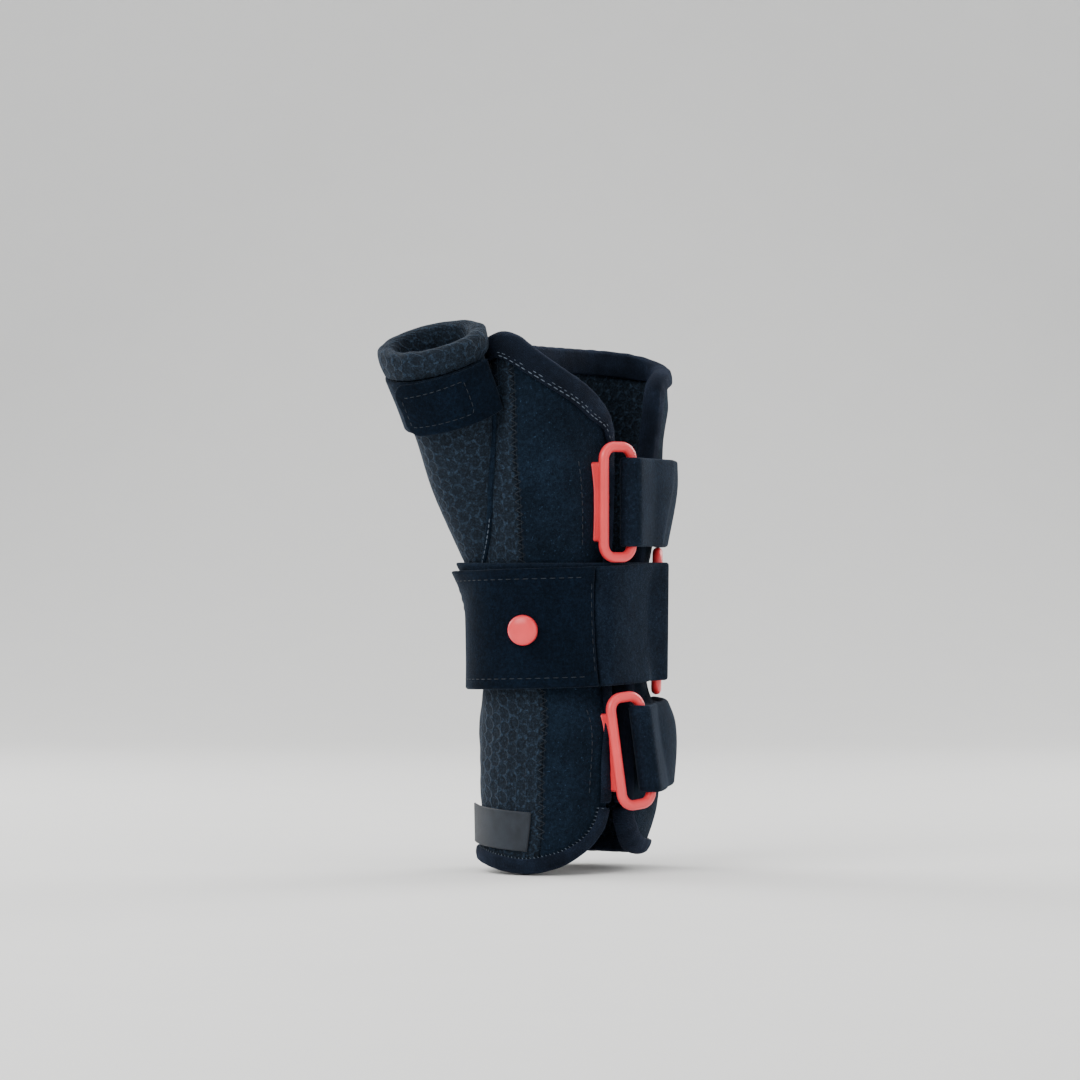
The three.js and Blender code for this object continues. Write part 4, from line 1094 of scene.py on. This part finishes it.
def studio_paper(name, colour):
    """Pale seamless paper with a faint grain."""
    f = Finish(name)
    place = f.node("TexCoord").outputs["Object"]
    tone = f.noise(place, 30, 4, 0.6)
    body = f.tones(tone, colour, [(0.3, 0.985), (0.7, 1)])
    return f.set(Base_Color=body, Roughness=0.9, Normal=f.bump(tone, 0.0002, 0.1))


FINISHES = {}


def finish(piece, kind):
    """Gives a piece its material and its place in the part."""
    piece.data.materials.clear()
    piece.data.materials.append(FINISHES[kind])
    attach(piece, "root")
    return piece


# Stitch rows

def on_line(points, normals):
    """A line's points and normals as functions of the length along it."""
    run = run_along(points)
    return (lambda at: between(at, run, points), lambda at: unit(between(at, run, normals)),
            run[-1])


def stitch_line(points, normals, pitch, dash):
    """Straight stitches along a polyline: their starts, ends and normals."""
    point_at, normal_at, length = on_line(points, normals)
    s = np.arange(0.5 * pitch, length - dash, pitch)
    return point_at(s), point_at(s + dash), normal_at(s + dash / 2)


def zigzag(low_points, high_points, normals, pitch):
    """Zigzag stitches between two lines that run side by side."""
    low, normal_at, length = on_line(low_points, normals)
    high, _, high_length = on_line(high_points, normals)
    s = np.arange(0, length - pitch, pitch)
    ratio = high_length / length
    up = (low(s), high((s + pitch / 2) * ratio), normal_at(s))
    down = (high((s + pitch / 2) * ratio), low(s + pitch), normal_at(s))
    return tuple(np.concatenate(pair) for pair in zip(up, down))


def ticks(low_points, high_points, normals, pitch):
    """Overlock ticks from one line to another beside it."""
    low, normal_at, length = on_line(low_points, normals)
    high, _, high_length = on_line(high_points, normals)
    s = np.arange(pitch / 2, length, pitch)
    return low(s), high(s * high_length / length), normal_at(s)


def join_rows(*rows):
    """Several rows of stitches as one."""
    return tuple(np.concatenate(parts) for parts in zip(*rows))


def skin_line(turn, z, lift):
    """Points and normals of a line on the body."""
    return skin(turn, z, lift), unit(skin(turn, z, lift + 1) - skin(turn, z, lift))


# Settings that a user would change

COLOURS = {
    "velour": ("Brushed cloth of the side panels", (0.0042, 0.0088, 0.0165)),
    "mesh": ("Spacer mesh of the palm and the thumb sleeve", (0.0062, 0.0108, 0.0180)),
    "tape": ("Binding round the edges", (0.0048, 0.0078, 0.0150)),
    "webbing": ("Brushed cloth of the straps", (0.0048, 0.0088, 0.0165)),
    "dark_webbing": ("Smoother cloth of the strap tabs", (0.0018, 0.0046, 0.0100)),
    "thread": ("Dark stitches", (0.011, 0.017, 0.026)),
    "pale_thread": ("Light grey stitches on the binding", (0.075, 0.098, 0.130)),
    "plastic": ("Moulded rings and button", (0.80, 0.040, 0.050)),
    "label": ("Flag label", (0.017, 0.022, 0.030)),
    "paper": ("Studio floor", (0.82, 0.82, 0.81)),
}


class SplintColours(bpy.types.PropertyGroup):
    """Colours of the splint's finishes."""

    __annotations__ = {
        key: bpy.props.FloatVectorProperty(name=key.replace("_", " ").capitalize(),
                                           description=text, subtype="COLOR",
                                           default=colour, min=0, max=1)
        for key, (text, colour) in COLOURS.items()}


class SplintSizes(bpy.types.PropertyGroup):
    """Sizes of the splint's fine detail."""

    cloth_step: bpy.props.FloatProperty(
        name="Cloth step", description="Grid step of the padded panels", default=0.0009,
        min=0.0003, max=0.01, unit="LENGTH")
    thread_radius: bpy.props.FloatProperty(
        name="Thread radius", description="Radius of the sewing thread", default=0.00017,
        min=0.00005, max=0.001, unit="LENGTH")
    cell_width: bpy.props.FloatProperty(
        name="Cell width", description="Width of a mesh cell", default=0.0036, min=0.001,
        max=0.02, unit="LENGTH")
    cell_height: bpy.props.FloatProperty(
        name="Cell height", description="Height of a mesh cell", default=0.0046, min=0.001,
        max=0.02, unit="LENGTH")


def sizes():
    """The scene's detail sizes in millimetres."""
    group = bpy.context.scene.splint_sizes
    return {key: getattr(group, key) / MM
            for key in ("cloth_step", "thread_radius", "cell_width", "cell_height")}


class SPLINT_OT_finishes(bpy.types.Operator):
    """Makes the splint's procedural materials"""

    bl_idname = "splint.finishes"
    bl_label = "Finishes"

    def execute(self, context):
        c = context.scene.splint_colours
        size = sizes()
        FINISHES.update(
            velour=brushed_cloth("brushed_velour", c.velour, fleck=0.35, nap=1.0),
            mesh=spacer_mesh("spacer_mesh", c.mesh, size["cell_width"], size["cell_height"]),
            tape=smooth_tape("stretch_binding", c.tape),
            webbing=brushed_cloth("brushed_strap", c.webbing, fleck=0.22, nap=0.7),
            dark_webbing=brushed_cloth("dark_strap_end", c.dark_webbing, fleck=0.10, nap=0.5),
            thread=sewing_thread("dark_thread", c.thread),
            pale_thread=sewing_thread("pale_thread", c.pale_thread),
            plastic=moulded_plastic("coral_plastic", c.plastic),
            label=woven_label("woven_label", c.label),
            paper=studio_paper("studio_paper", c.paper))
        return {"FINISHED"}


class SPLINT_OT_panels(bpy.types.Operator):
    """Builds the three padded panels"""

    bl_idname = "splint.panels"
    bl_label = "Panels"

    def execute(self, context):
        step = sizes()["cloth_step"]
        thumb_seam = [seam_edge(THUMB_SIDE_SEAM, side * SEAM_OVERLAP / 2) for side in (1, -1)]
        finger_seam = [seam_edge(FINGER_SIDE_SEAM, side * SEAM_OVERLAP / 2) for side in (1, -1)]
        near = upright_edge(NEAR_LOW, NEAR_HIGH, near_edge)
        far = upright_edge(FAR_LOW, FAR_HIGH, far_edge)
        radial = panel("velour_thumb_side", near, thumb_seam[0], 44, step, cloth_relief(3))
        palmar = panel("mesh_palm", thumb_seam[1], finger_seam[0], 112, step, mesh_relief(5))
        ulnar = panel("velour_finger_side", finger_seam[1], far, 48, step, cloth_relief(7))
        around = np.linspace(0, 360, 72, endpoint=False)
        down = np.linspace(0, SLEEVE_LENGTH, 60)
        cut(palmar, filled_tube("thumb_space", sleeve(around[None], down[:, None], -SLEEVE_WALL)))
        for piece, node, kind in ((radial, "radial_panel", "velour"),
                                  (palmar, "palmar_panel", "mesh"),
                                  (ulnar, "ulnar_panel", "velour")):
            finish(piece, kind)
            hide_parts(node)
        return {"FINISHED"}


class SPLINT_OT_bindings(bpy.types.Operator):
    """Builds the bindings over the cloth's edges, with their stitches"""

    bl_idname = "splint.bindings"
    bl_label = "Bindings"

    def execute(self, context):
        turn, z = loop_path()
        turn_step, z_step = edge_frame(turn, z)
        path = (turn, z, turn_step, z_step)
        is_hand = z > NEAR_LOW + TAPE_START_RISE
        first = int(np.argmax(is_hand & ~np.roll(is_hand, 1)))
        order = (np.arange(len(turn)) + first) % len(turn)
        hand = order[is_hand[order]]
        cuff = order[~is_hand[order]][1:-1]
        rim_part = z[hand] > height_of(curve(RIM, VALUE, turn[hand])) - RIM_DEPTH
        legs = leg_at(turn[hand], z[hand], rim_part)
        ease(legs, 25)
        tapes = [("rim_binding", hand, legs, "hand_binding"),
                 ("hem_binding", cuff, np.full(len(cuff), CUFF_LEG), "cuff_binding")]
        for name, pick, leg, node in tapes:
            piece = bind(name, path, pick, leg)
            finish(piece, "tape")
            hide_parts(node)
        sewn = rim_part & (turn[hand] < RIM_STITCH_TO)
        self.stitch(path, hand[sewn], legs[sewn], cuff)
        return {"FINISHED"}

    def stitch(self, path, hand, legs, cuff):
        """Pale zigzag along the rim's binding and ticks over the hem's."""
        lift = TAPE_GAP + TAPE + 0.12
        radius = sizes()["thread_radius"]

        def line(pick, inward, height):
            points = from_edge(path, pick, inward[:, None], height)[:, 0]
            above = from_edge(path, pick, inward[:, None], height + 1)[:, 0]
            return points, unit(above - points)

        rows = [stitch_line(*line(hand, legs - inset, lift), **RIM_STITCH) for inset in RIM_INSETS]
        piece = threads("rim_stitches", *join_rows(*rows), radius, 0.12)
        finish(piece, "pale_thread")
        low, normals = line(cuff, np.full(len(cuff), CUFF_LEG - 1.6), lift + 0.05)
        high, _ = line(cuff, np.full(len(cuff), CUFF_LEG + 0.5), 0.35)
        rows = ticks(low, high, normals, HEM_PITCH)
        piece = threads("hem_stitches", *rows, radius, 0.3)
        finish(piece, "pale_thread")


class SPLINT_OT_thumb(bpy.types.Operator):
    """Builds the thumb sleeve with its hem, its band and its seam"""

    bl_idname = "splint.thumb"
    bl_label = "Thumb sleeve"

    def execute(self, context):
        self.tube()
        self.hem()
        self.band()
        self.seam()
        return {"FINISHED"}

    def tube(self):
        """The padded tube, cut where it meets the body."""
        size = sizes()
        around = np.linspace(0, 360, 150, endpoint=False)[:, None]
        down = (crowded(110, SLEEVE_LENGTH, SLEEVE_WALL / 2) * SLEEVE_LENGTH)[None]
        run = np.radians(around) * SLEEVE_MOUTH
        free = smooth_step(down, 8, 26)
        cells = honeycomb(run, down, size["cell_width"], size["cell_height"])
        lift = free * (0.28 * ripple(run, down, 24, 11) - 0.2) - 0.13 * np.clip(cells, 0, 1)
        outer, inner = sleeve(around, down, lift), sleeve(around, down, -SLEEVE_WALL + 0 * lift)
        piece = slab("mesh_sleeve", outer, inner, SLEEVE_WALL / 2, looped=True)
        cut(piece, body_fill("body_space", 0.25))
        finish(piece, "mesh")
        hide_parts("thumb_sleeve")

    def hem(self):
        """The rolled hem round the mouth."""
        around = np.linspace(0, 360, 180, endpoint=False)
        legs = np.full(len(around), THUMB_LEG)
        run = np.radians(around)[:, None] * SLEEVE_MOUTH
        piece = folded_tape("thumb_hem", legs, SLEEVE_WALL,
                            lambda down, lift: sleeve(around[:, None], down, lift), 0.35,
                            lambda share: 0.15 * ripple(run, 7 * share, 8, 17), looped=True)
        finish(piece, "mesh")
        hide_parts("thumb_binding")

    def strip(self, name, to, low, rounded, seed):
        """A strip round the sleeve, with a rounded end where asked."""
        span = to - BAND_FROM
        around = BAND_FROM + crowded(int(span / 1.6), span, 3) * span
        to_end = np.radians(to - around) * SLEEVE_MOUTH
        trim = corner_trim(to_end) if rounded else 0 * to_end
        a = rows_across(BAND_WIDTH)
        down = BAND_DOWN + a[None] * (BAND_WIDTH / 2 - trim)[:, None]
        wave = 0.12 * ripple(np.radians(around)[:, None] * SLEEVE_MOUTH, down, 18, seed)
        faces = [sleeve(around[:, None], down, low + lift + wave) for lift in (BAND_THICK, 0)]
        piece = slab(name, faces[0], faces[1], BAND_THICK / 2)
        length = math.radians(span) * (SLEEVE_MOUTH * 0.95 + low)
        return piece, (BAND_WIDTH * MM, length * MM)

    def band(self):
        """The band round the sleeve and the stitched end over its front."""
        band, size = self.strip("sleeve_band", BAND_TO, GAP, False, 41)
        finish(band, "webbing")
        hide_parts("thumb_band")
        low = 2 * GAP + BAND_THICK
        tab, size = self.strip("sleeve_band_end", THUMB_TAB_TO, low, True, 41)
        finish(tab, "dark_webbing")
        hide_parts("thumb_tab")
        top = low + BAND_THICK + 0.1
        left, right, half = THUMB_TAB_TO - 9, BAND_FROM + 36, BAND_WIDTH / 2 - 3.6
        corners = np.array([(left, -half), (right, -half), (right, half), (left, half),
                            (left, -half)])
        around, down = np.concatenate([np.linspace(a, b, 40)[:-1]
                                       for a, b in zip(corners, corners[1:])]).T
        around, down = ease_loop(around, 8), ease_loop(down, 8)
        points = sleeve(around, BAND_DOWN + down, top)
        normals = unit(sleeve(around, BAND_DOWN + down, top + 1) - points)
        rows = stitch_line(points, normals, **THUMB_TAB_STITCH)
        finish(threads("band_end_stitches", *rows, *TAB_THREAD), "thread")

    def seam(self):
        """A corded ridge and pale stitches where the sleeve is sewn to the palm."""
        around = np.linspace(0, 360, 260, endpoint=False)
        centre = ease_loop(sleeve(around, sleeve_foot(around, 0.0), 0.0), 10)
        along = unit(np.roll(centre, -1, 0) - np.roll(centre, 1, 0))
        run, axis_points = AXIS[0], AXIS[1]
        nearest = np.abs(axis_points[None] - centre[:, None]).sum(-1).argmin(1)
        out = unit(centre - axis_points[nearest])
        out = unit(out - along * (out * along).sum(-1, keepdims=True))
        side = np.cross(along, out)
        front = np.flatnonzero((centre[:, 1] < -12) & (centre[:, 2] < 42) & (centre[:, 0] > -26))
        if len(front) > 4:
            line = centre[front] + out[front] * 0.9
            rows = stitch_line(line, out[front], **SLEEVE_STITCH)
            finish(threads("sleeve_seam_stitches", *rows, *SLEEVE_THREAD),
                   "pale_thread")
        points, quads = tube_mesh(centre - out * 0.2, out, side, 1.0, 14)
        piece = write_mesh("sleeve_seam", points, quads)
        finish(piece, "velour")


class SPLINT_OT_straps(bpy.types.Operator):
    """Builds the three straps and the wrist strap's stitched end"""

    bl_idname = "splint.straps"
    bl_label = "Straps"

    def execute(self, context):
        hand = folded_strap(HAND, (262, 354), (352, 288), HAND_STRAP_WIDTH, HAND_STRAP_DROP,
                            rounded=True, wave=0.5, seed=51)
        forearm = folded_strap(FOREARM, (262, 357), (354, 288), FOREARM_STRAP_WIDTH,
                               FOREARM_STRAP_DROP, rounded=True, wave=0.4, seed=53)
        wrist = folded_strap(WRIST, (212, -16), (-16, TAB_FROM - TAB_CLEAR), WRIST_STRAP_WIDTH,
                             WRIST_STRAP_DROP * TAB_START_DROP, rounded=False, wave=0.25,
                             seed=57)
        for name, node, faces, width in (
                ("hand_wrap", "hand_strap", hand, HAND_STRAP_WIDTH),
                ("forearm_wrap", "forearm_strap", forearm, FOREARM_STRAP_WIDTH),
                ("wrist_wrap", "wrist_strap", wrist, WRIST_STRAP_WIDTH)):
            piece = slab(name, faces[0], faces[1], STRAP_THICK / 2)
            finish(piece, "webbing")
            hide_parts(node)
        self.end()
        return {"FINISHED"}

    def end(self):
        """The wrist strap's darker end, with its rows of stitches."""
        turns = steps(TAB_FROM, TAB_TO, 0.8)
        to_end = (TAB_TO - turns) / degrees_per_mm(turns, WRIST_STRAP_UP)
        share = (turns - TAB_FROM) / (TAB_TO - TAB_FROM)
        middle = WRIST_STRAP_UP - WRIST_STRAP_DROP * mix(TAB_START_DROP, 1, share)

        def at(a, lift):
            z = middle[:, None] + a * (WRIST_STRAP_WIDTH / 2 - corner_trim(to_end))[:, None]
            return on_body(turns[:, None], z, TAB_LOW + lift)

        a = rows_across(WRIST_STRAP_WIDTH)[None]
        outer, inner = at(a, TAB_THICK), at(a, 0.0)
        piece = slab("wrist_wrap_end", outer, inner, TAB_THICK / 2)
        finish(piece, "dark_webbing")
        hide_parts("wrist_tab")
        inset = 1 - TAB_INSET / (WRIST_STRAP_WIDTH / 2)

        def sewn(a, pick):
            points, above = (at(a, TAB_THICK + lift)[pick] for lift in (0.05, 1.05))
            return stitch_line(points, unit(above - points), **TAB_STITCH)

        rows = [sewn(np.array([[edge]]), (slice(8, -9), 0)) for edge in (-inset, inset)]
        across = np.linspace(-inset, inset, 40)[None]
        rows += [sewn(across, station) for station in (-9, 3)]
        finish(threads("wrist_end_stitches", *join_rows(*rows), *TAB_THREAD), "thread")


def ring_loop(place, opening):
    """A wire loop: a rounded rectangle of straight bars and quarter circles, with a round wire
    carried along it."""
    tall = opening + WIRE
    arc = np.radians(np.linspace(0, 90, 14))
    corners = [(RING_REACH, tall / 2, 0), (0, tall / 2, 90), (0, -tall / 2, 180),
               (RING_REACH, -tall / 2, 270)]
    flat, normal = [], []
    for x, y, start in corners:
        cx = x - RING_CORNER if x else RING_CORNER
        cy = y - math.copysign(RING_CORNER, y)
        angle = arc + math.radians(start)
        way = np.stack([np.cos(angle), np.sin(angle)], -1)
        flat.append(np.array([cx, cy]) + RING_CORNER * way)
        normal.append(way)
    flat, normal = np.concatenate(flat), np.concatenate(normal)
    basis = np.stack([place.across, place.bar])
    centre, out = place.middle + flat @ basis, normal @ basis
    return tube_mesh(centre, out, np.broadcast_to(place.out, out.shape), WIRE / 2, 28)


def ring_flange(place, tall, way):
    """The sewn flange's two faces: off the sewn bar, down through the cloth's outside and on
    inside the wall."""
    side, within = WIRE / 2, -WALL / 2
    dive = np.array([(0, place.lift - 0.2 * side), (0, 0.45 * place.lift), (0.1 * side, 0),
                     (side, within), (FLANGE_REACH, within)])
    share = np.linspace(0, 4, 33)
    path = between(share, np.arange(5), dive)
    ease(path, 3)
    step = unit(np.gradient(path, axis=0))
    square = np.stack([-step[:, 1], step[:, 0]], -1)
    up = np.linspace(-tall / 2, tall / 2, 40)
    z = place.z + up
    bar = place.middle + place.bar * (up / place.bar[2])[:, None]
    around = skin(place.turn + 0.5, z) - skin(place.turn - 0.5, z)
    offset = (bar - skin(place.turn, z)) * np.array([1, 1, 0])
    start = place.turn + (offset * around).sum(-1) / (around * around).sum(-1)
    faces = []
    for facing in (1, -1):
        u, v = (path + facing * FLANGE_THICK / 2 * square).T
        turn = start[None] + way * u[:, None] * degrees_per_mm(place.turn, z)[None]
        faces.append(skin(turn, z[None] + 0 * turn, v[:, None]))
    return faces


class SPLINT_OT_rings(bpy.types.Operator):
    """Builds the three moulded rings, the button and the label"""

    bl_idname = "splint.rings"
    bl_label = "Rings and small parts"

    def execute(self, context):
        rings = [("moulded_hand_ring", "hand_ring", HAND, HAND_OPENING, 1),
                 ("moulded_wrist_ring", "wrist_ring", WRIST, WRIST_OPENING, -1),
                 ("moulded_forearm_ring", "forearm_ring", FOREARM, FOREARM_OPENING, 1)]
        for name, node, place, opening, way in rings:
            points, quads = ring_loop(place, opening)
            loop = write_mesh(name, points, quads)
            faces = ring_flange(place, (opening + 2 * WIRE) * FLANGE_SHARE, way)
            flange = slab(name + "_flange", faces[0], faces[1], FLANGE_THICK / 2)
            finish(loop, "plastic")
            finish(flange, "plastic")
            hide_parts(node)
        self.button()
        self.label()
        return {"FINISHED"}

    def button(self):
        """The button: a flat foot, a short upright side and a low dome, turned round its axis."""
        z = WRIST_STRAP_UP - WRIST_STRAP_DROP * 0.75
        low = TAB_LOW + TAB_THICK
        around = on_body(BUTTON_TURN + 8, z, low) - on_body(BUTTON_TURN - 8, z, low)
        up = on_body(BUTTON_TURN, z + BUTTON_RADIUS, low) - on_body(BUTTON_TURN, z - BUTTON_RADIUS,
                                                                    low)
        out = unit(np.cross(up, around))
        centre = on_body(BUTTON_TURN, z, low) + out * 0.1
        angle = np.radians(np.linspace(0, 90, 16))
        radius = np.concatenate([[0.001, BUTTON_RADIUS * 0.97, BUTTON_RADIUS],
                                 BUTTON_RADIUS * np.cos(angle[1:-1]) ** 0.8, [0.001]])
        rise = np.concatenate([[0, 0, 0.15], BUTTON_RISE * (0.35 + 0.65 * np.sin(angle[1:-1])),
                               [BUTTON_RISE]])
        side = unit(np.cross(out, UP))
        top = np.cross(side, out)
        a = np.linspace(0, 2 * math.pi, 64, endpoint=False)
        points = (centre + out * rise[:, None, None]
                  + radius[:, None, None] * (side * np.cos(a)[None, :, None]
                                             + top * np.sin(a)[None, :, None]))
        rows = len(radius)
        piece = write_mesh("strap_stud", points.reshape(-1, 3), grid_faces(rows, 64, False, True))
        finish(piece, "plastic")
        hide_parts("strap_button")

    def label(self):
        """The flag: it lies on the cuff at its sewn end and curls off it at the free end."""
        turn = np.linspace(LABEL[0, 0], LABEL[-1, 0], 60)[:, None]
        middle = curve(LABEL, MIDDLE, turn) * CUFF_DROP
        z = middle + (2 * crowded(14, LABEL_HEIGHT, 0.5)[None] - 1) * LABEL_HEIGHT / 2
        lift = GAP + curve(LABEL, CURL, turn) * HALF_THICK + 0 * z
        outer, inner = skin(turn, z, lift + LABEL_THICK), skin(turn, z, lift)
        piece = slab("flag_label", outer, inner, LABEL_THICK / 2)
        finish(piece, "label")
        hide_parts("side_label")


class SPLINT_OT_stitches(bpy.types.Operator):
    """Sews the seams between the panels and beside the rings"""

    bl_idname = "splint.stitches"
    bl_label = "Panel stitches"

    def execute(self, context):
        radius = sizes()["thread_radius"]
        z = np.linspace(-65, 92, 400)
        for name, table, top, thread in (
                ("thumb_side_stitches", THUMB_SIDE_SEAM, 93, THUMB_SIDE_THREAD),
                ("finger_side_stitches", FINGER_SIDE_SEAM, 88, FINGER_SIDE_THREAD)):
            keep = z < top
            seam = curve(table, VALUE, level_of(z))
            aside = SEAM_HALF * degrees_per_mm(seam, z)
            low, normals = skin_line(seam - aside, z, 0.05)
            high, _ = skin_line(seam + aside, z, 0.05)
            rows = zigzag(low[keep], high[keep], normals[keep], SEAM_PITCH)
            finish(threads(name, *rows, *thread), "thread")
        rows = []
        for place, way, tall in ((HAND, 1, 31), (FOREARM, 1, 29), (WRIST, -1, 40)):
            z = np.linspace(place.z - tall / 2, place.z + tall / 2, 60)
            turn = place.turn + way * RING_STITCH_AWAY * degrees_per_mm(place.turn, z)
            points, normals = skin_line(turn, z, 0.25)
            rows.append(stitch_line(points, normals, **RING_STITCH))
        finish(threads("ring_stitches", *join_rows(*rows), radius, 0.2), "thread")
        return {"FINISHED"}


class SPLINT_OT_stage(bpy.types.Operator):
    """Sets a pale seamless floor, soft lights and the camera"""

    bl_idname = "splint.stage"
    bl_label = "Stage"

    def execute(self, context):
        floor_z = float(CAD_BOX[0][2]) / MM - FLOOR_DROP
        x = np.linspace(-FLOOR_REACH, FLOOR_REACH, 21)
        angle = np.linspace(0, math.pi / 2, 24)[1:]
        back = FLOOR_BACK + SWEEP
        depth = np.concatenate([np.linspace(-FLOOR_REACH, FLOOR_BACK, 20),
                                FLOOR_BACK + SWEEP * np.sin(angle), [back, back]])
        rise = np.concatenate([np.zeros(20), SWEEP * (1 - np.cos(angle)), [1500, 3000]])
        points = np.stack([x[:, None] + 0 * depth[None], depth[None] + 0 * x[:, None],
                           floor_z + rise[None] + 0 * x[:, None]], -1)
        floor = write_mesh("studio_floor", points.reshape(-1, 3), grid_faces(len(x), len(depth)))
        floor.data.materials.append(FINISHES["paper"])
        self.lights()
        self.camera(context)
        return {"FINISHED"}

    def lights(self):
        """A large soft key from the upper left, a fill from the right, two rims behind and one
        from above: name, place in metres, power in watts and size in metres."""
        table = [("key", (-0.75, -0.95, 0.75), 16, 0.9), ("fill", (0.95, -0.85, 0.35), 5, 0.9),
                 ("left_rim", (-0.75, 0.55, 0.5), 9, 0.6), ("right_rim", (0.8, 0.6, 0.5), 9, 0.6),
                 ("top", (0.0, -0.1, 1.1), 6, 0.9)]
        for name, place, power, size in table:
            lamp = bpy.data.lights.new(name, "AREA")
            lamp.energy, lamp.size = power, size
            lamp.color = (1.0, 0.99, 0.97)
            item = bpy.data.objects.new(name, lamp)
            bpy.context.scene.collection.objects.link(item)
            item.location = place
            aim = -np.array(place) + np.array([0, 0, 0.015])
            item.rotation_euler = Vector(aim).to_track_quat("-Z", "Y").to_euler()
        world = bpy.data.worlds.new("soft_studio")
        world.use_nodes = True
        world.node_tree.nodes["Background"].inputs[0].default_value = (0.95, 0.97, 1.0, 1)
        world.node_tree.nodes["Background"].inputs[1].default_value = 0.55
        bpy.context.scene.world = world

    def camera(self, context):
        """A long lens level with the splint's middle, framed to the photograph's width."""
        frame_width, distance = 0.3618, 1.5
        data = bpy.data.cameras.new("camera")
        data.sensor_width = 36
        data.lens = data.sensor_width * distance / frame_width
        item = bpy.data.objects.new("camera", data)
        item.location = (-0.0067, -distance, 0.0335)
        item.rotation_euler = (math.radians(90), 0, 0)
        context.scene.collection.objects.link(item)
        context.scene.camera = item


class SPLINT_PT_panel(bpy.types.Panel):
    """Lists the steps that build the splint"""

    bl_idname = "SPLINT_PT_panel"
    bl_label = "Splint"
    bl_space_type = "VIEW_3D"
    bl_region_type = "UI"
    bl_category = "Splint"

    def draw(self, context):
        for step in STEPS:
            self.layout.operator(step.bl_idname)
        for group in (context.scene.splint_colours, context.scene.splint_sizes):
            for key in group.__annotations__:
                self.layout.prop(group, key)


STEPS = (SPLINT_OT_finishes, SPLINT_OT_panels, SPLINT_OT_bindings, SPLINT_OT_thumb,
         SPLINT_OT_straps, SPLINT_OT_rings, SPLINT_OT_stitches, SPLINT_OT_stage)
CLASSES = (SplintColours, SplintSizes, *STEPS, SPLINT_PT_panel)


def register():
    """Adds the classes and their settings to Blender."""
    for item in CLASSES:
        bpy.utils.register_class(item)
    bpy.types.Scene.splint_colours = bpy.props.PointerProperty(type=SplintColours)
    bpy.types.Scene.splint_sizes = bpy.props.PointerProperty(type=SplintSizes)


def unregister():
    """Takes them out again."""
    del bpy.types.Scene.splint_sizes
    del bpy.types.Scene.splint_colours
    for item in reversed(CLASSES):
        bpy.utils.unregister_class(item)


def main():
    """Builds the splint and its stage."""
    register()
    for step in STEPS:
        group, name = step.bl_idname.split(".")
        getattr(getattr(bpy.ops, group), name)()


if __name__ == "__main__":
    main()
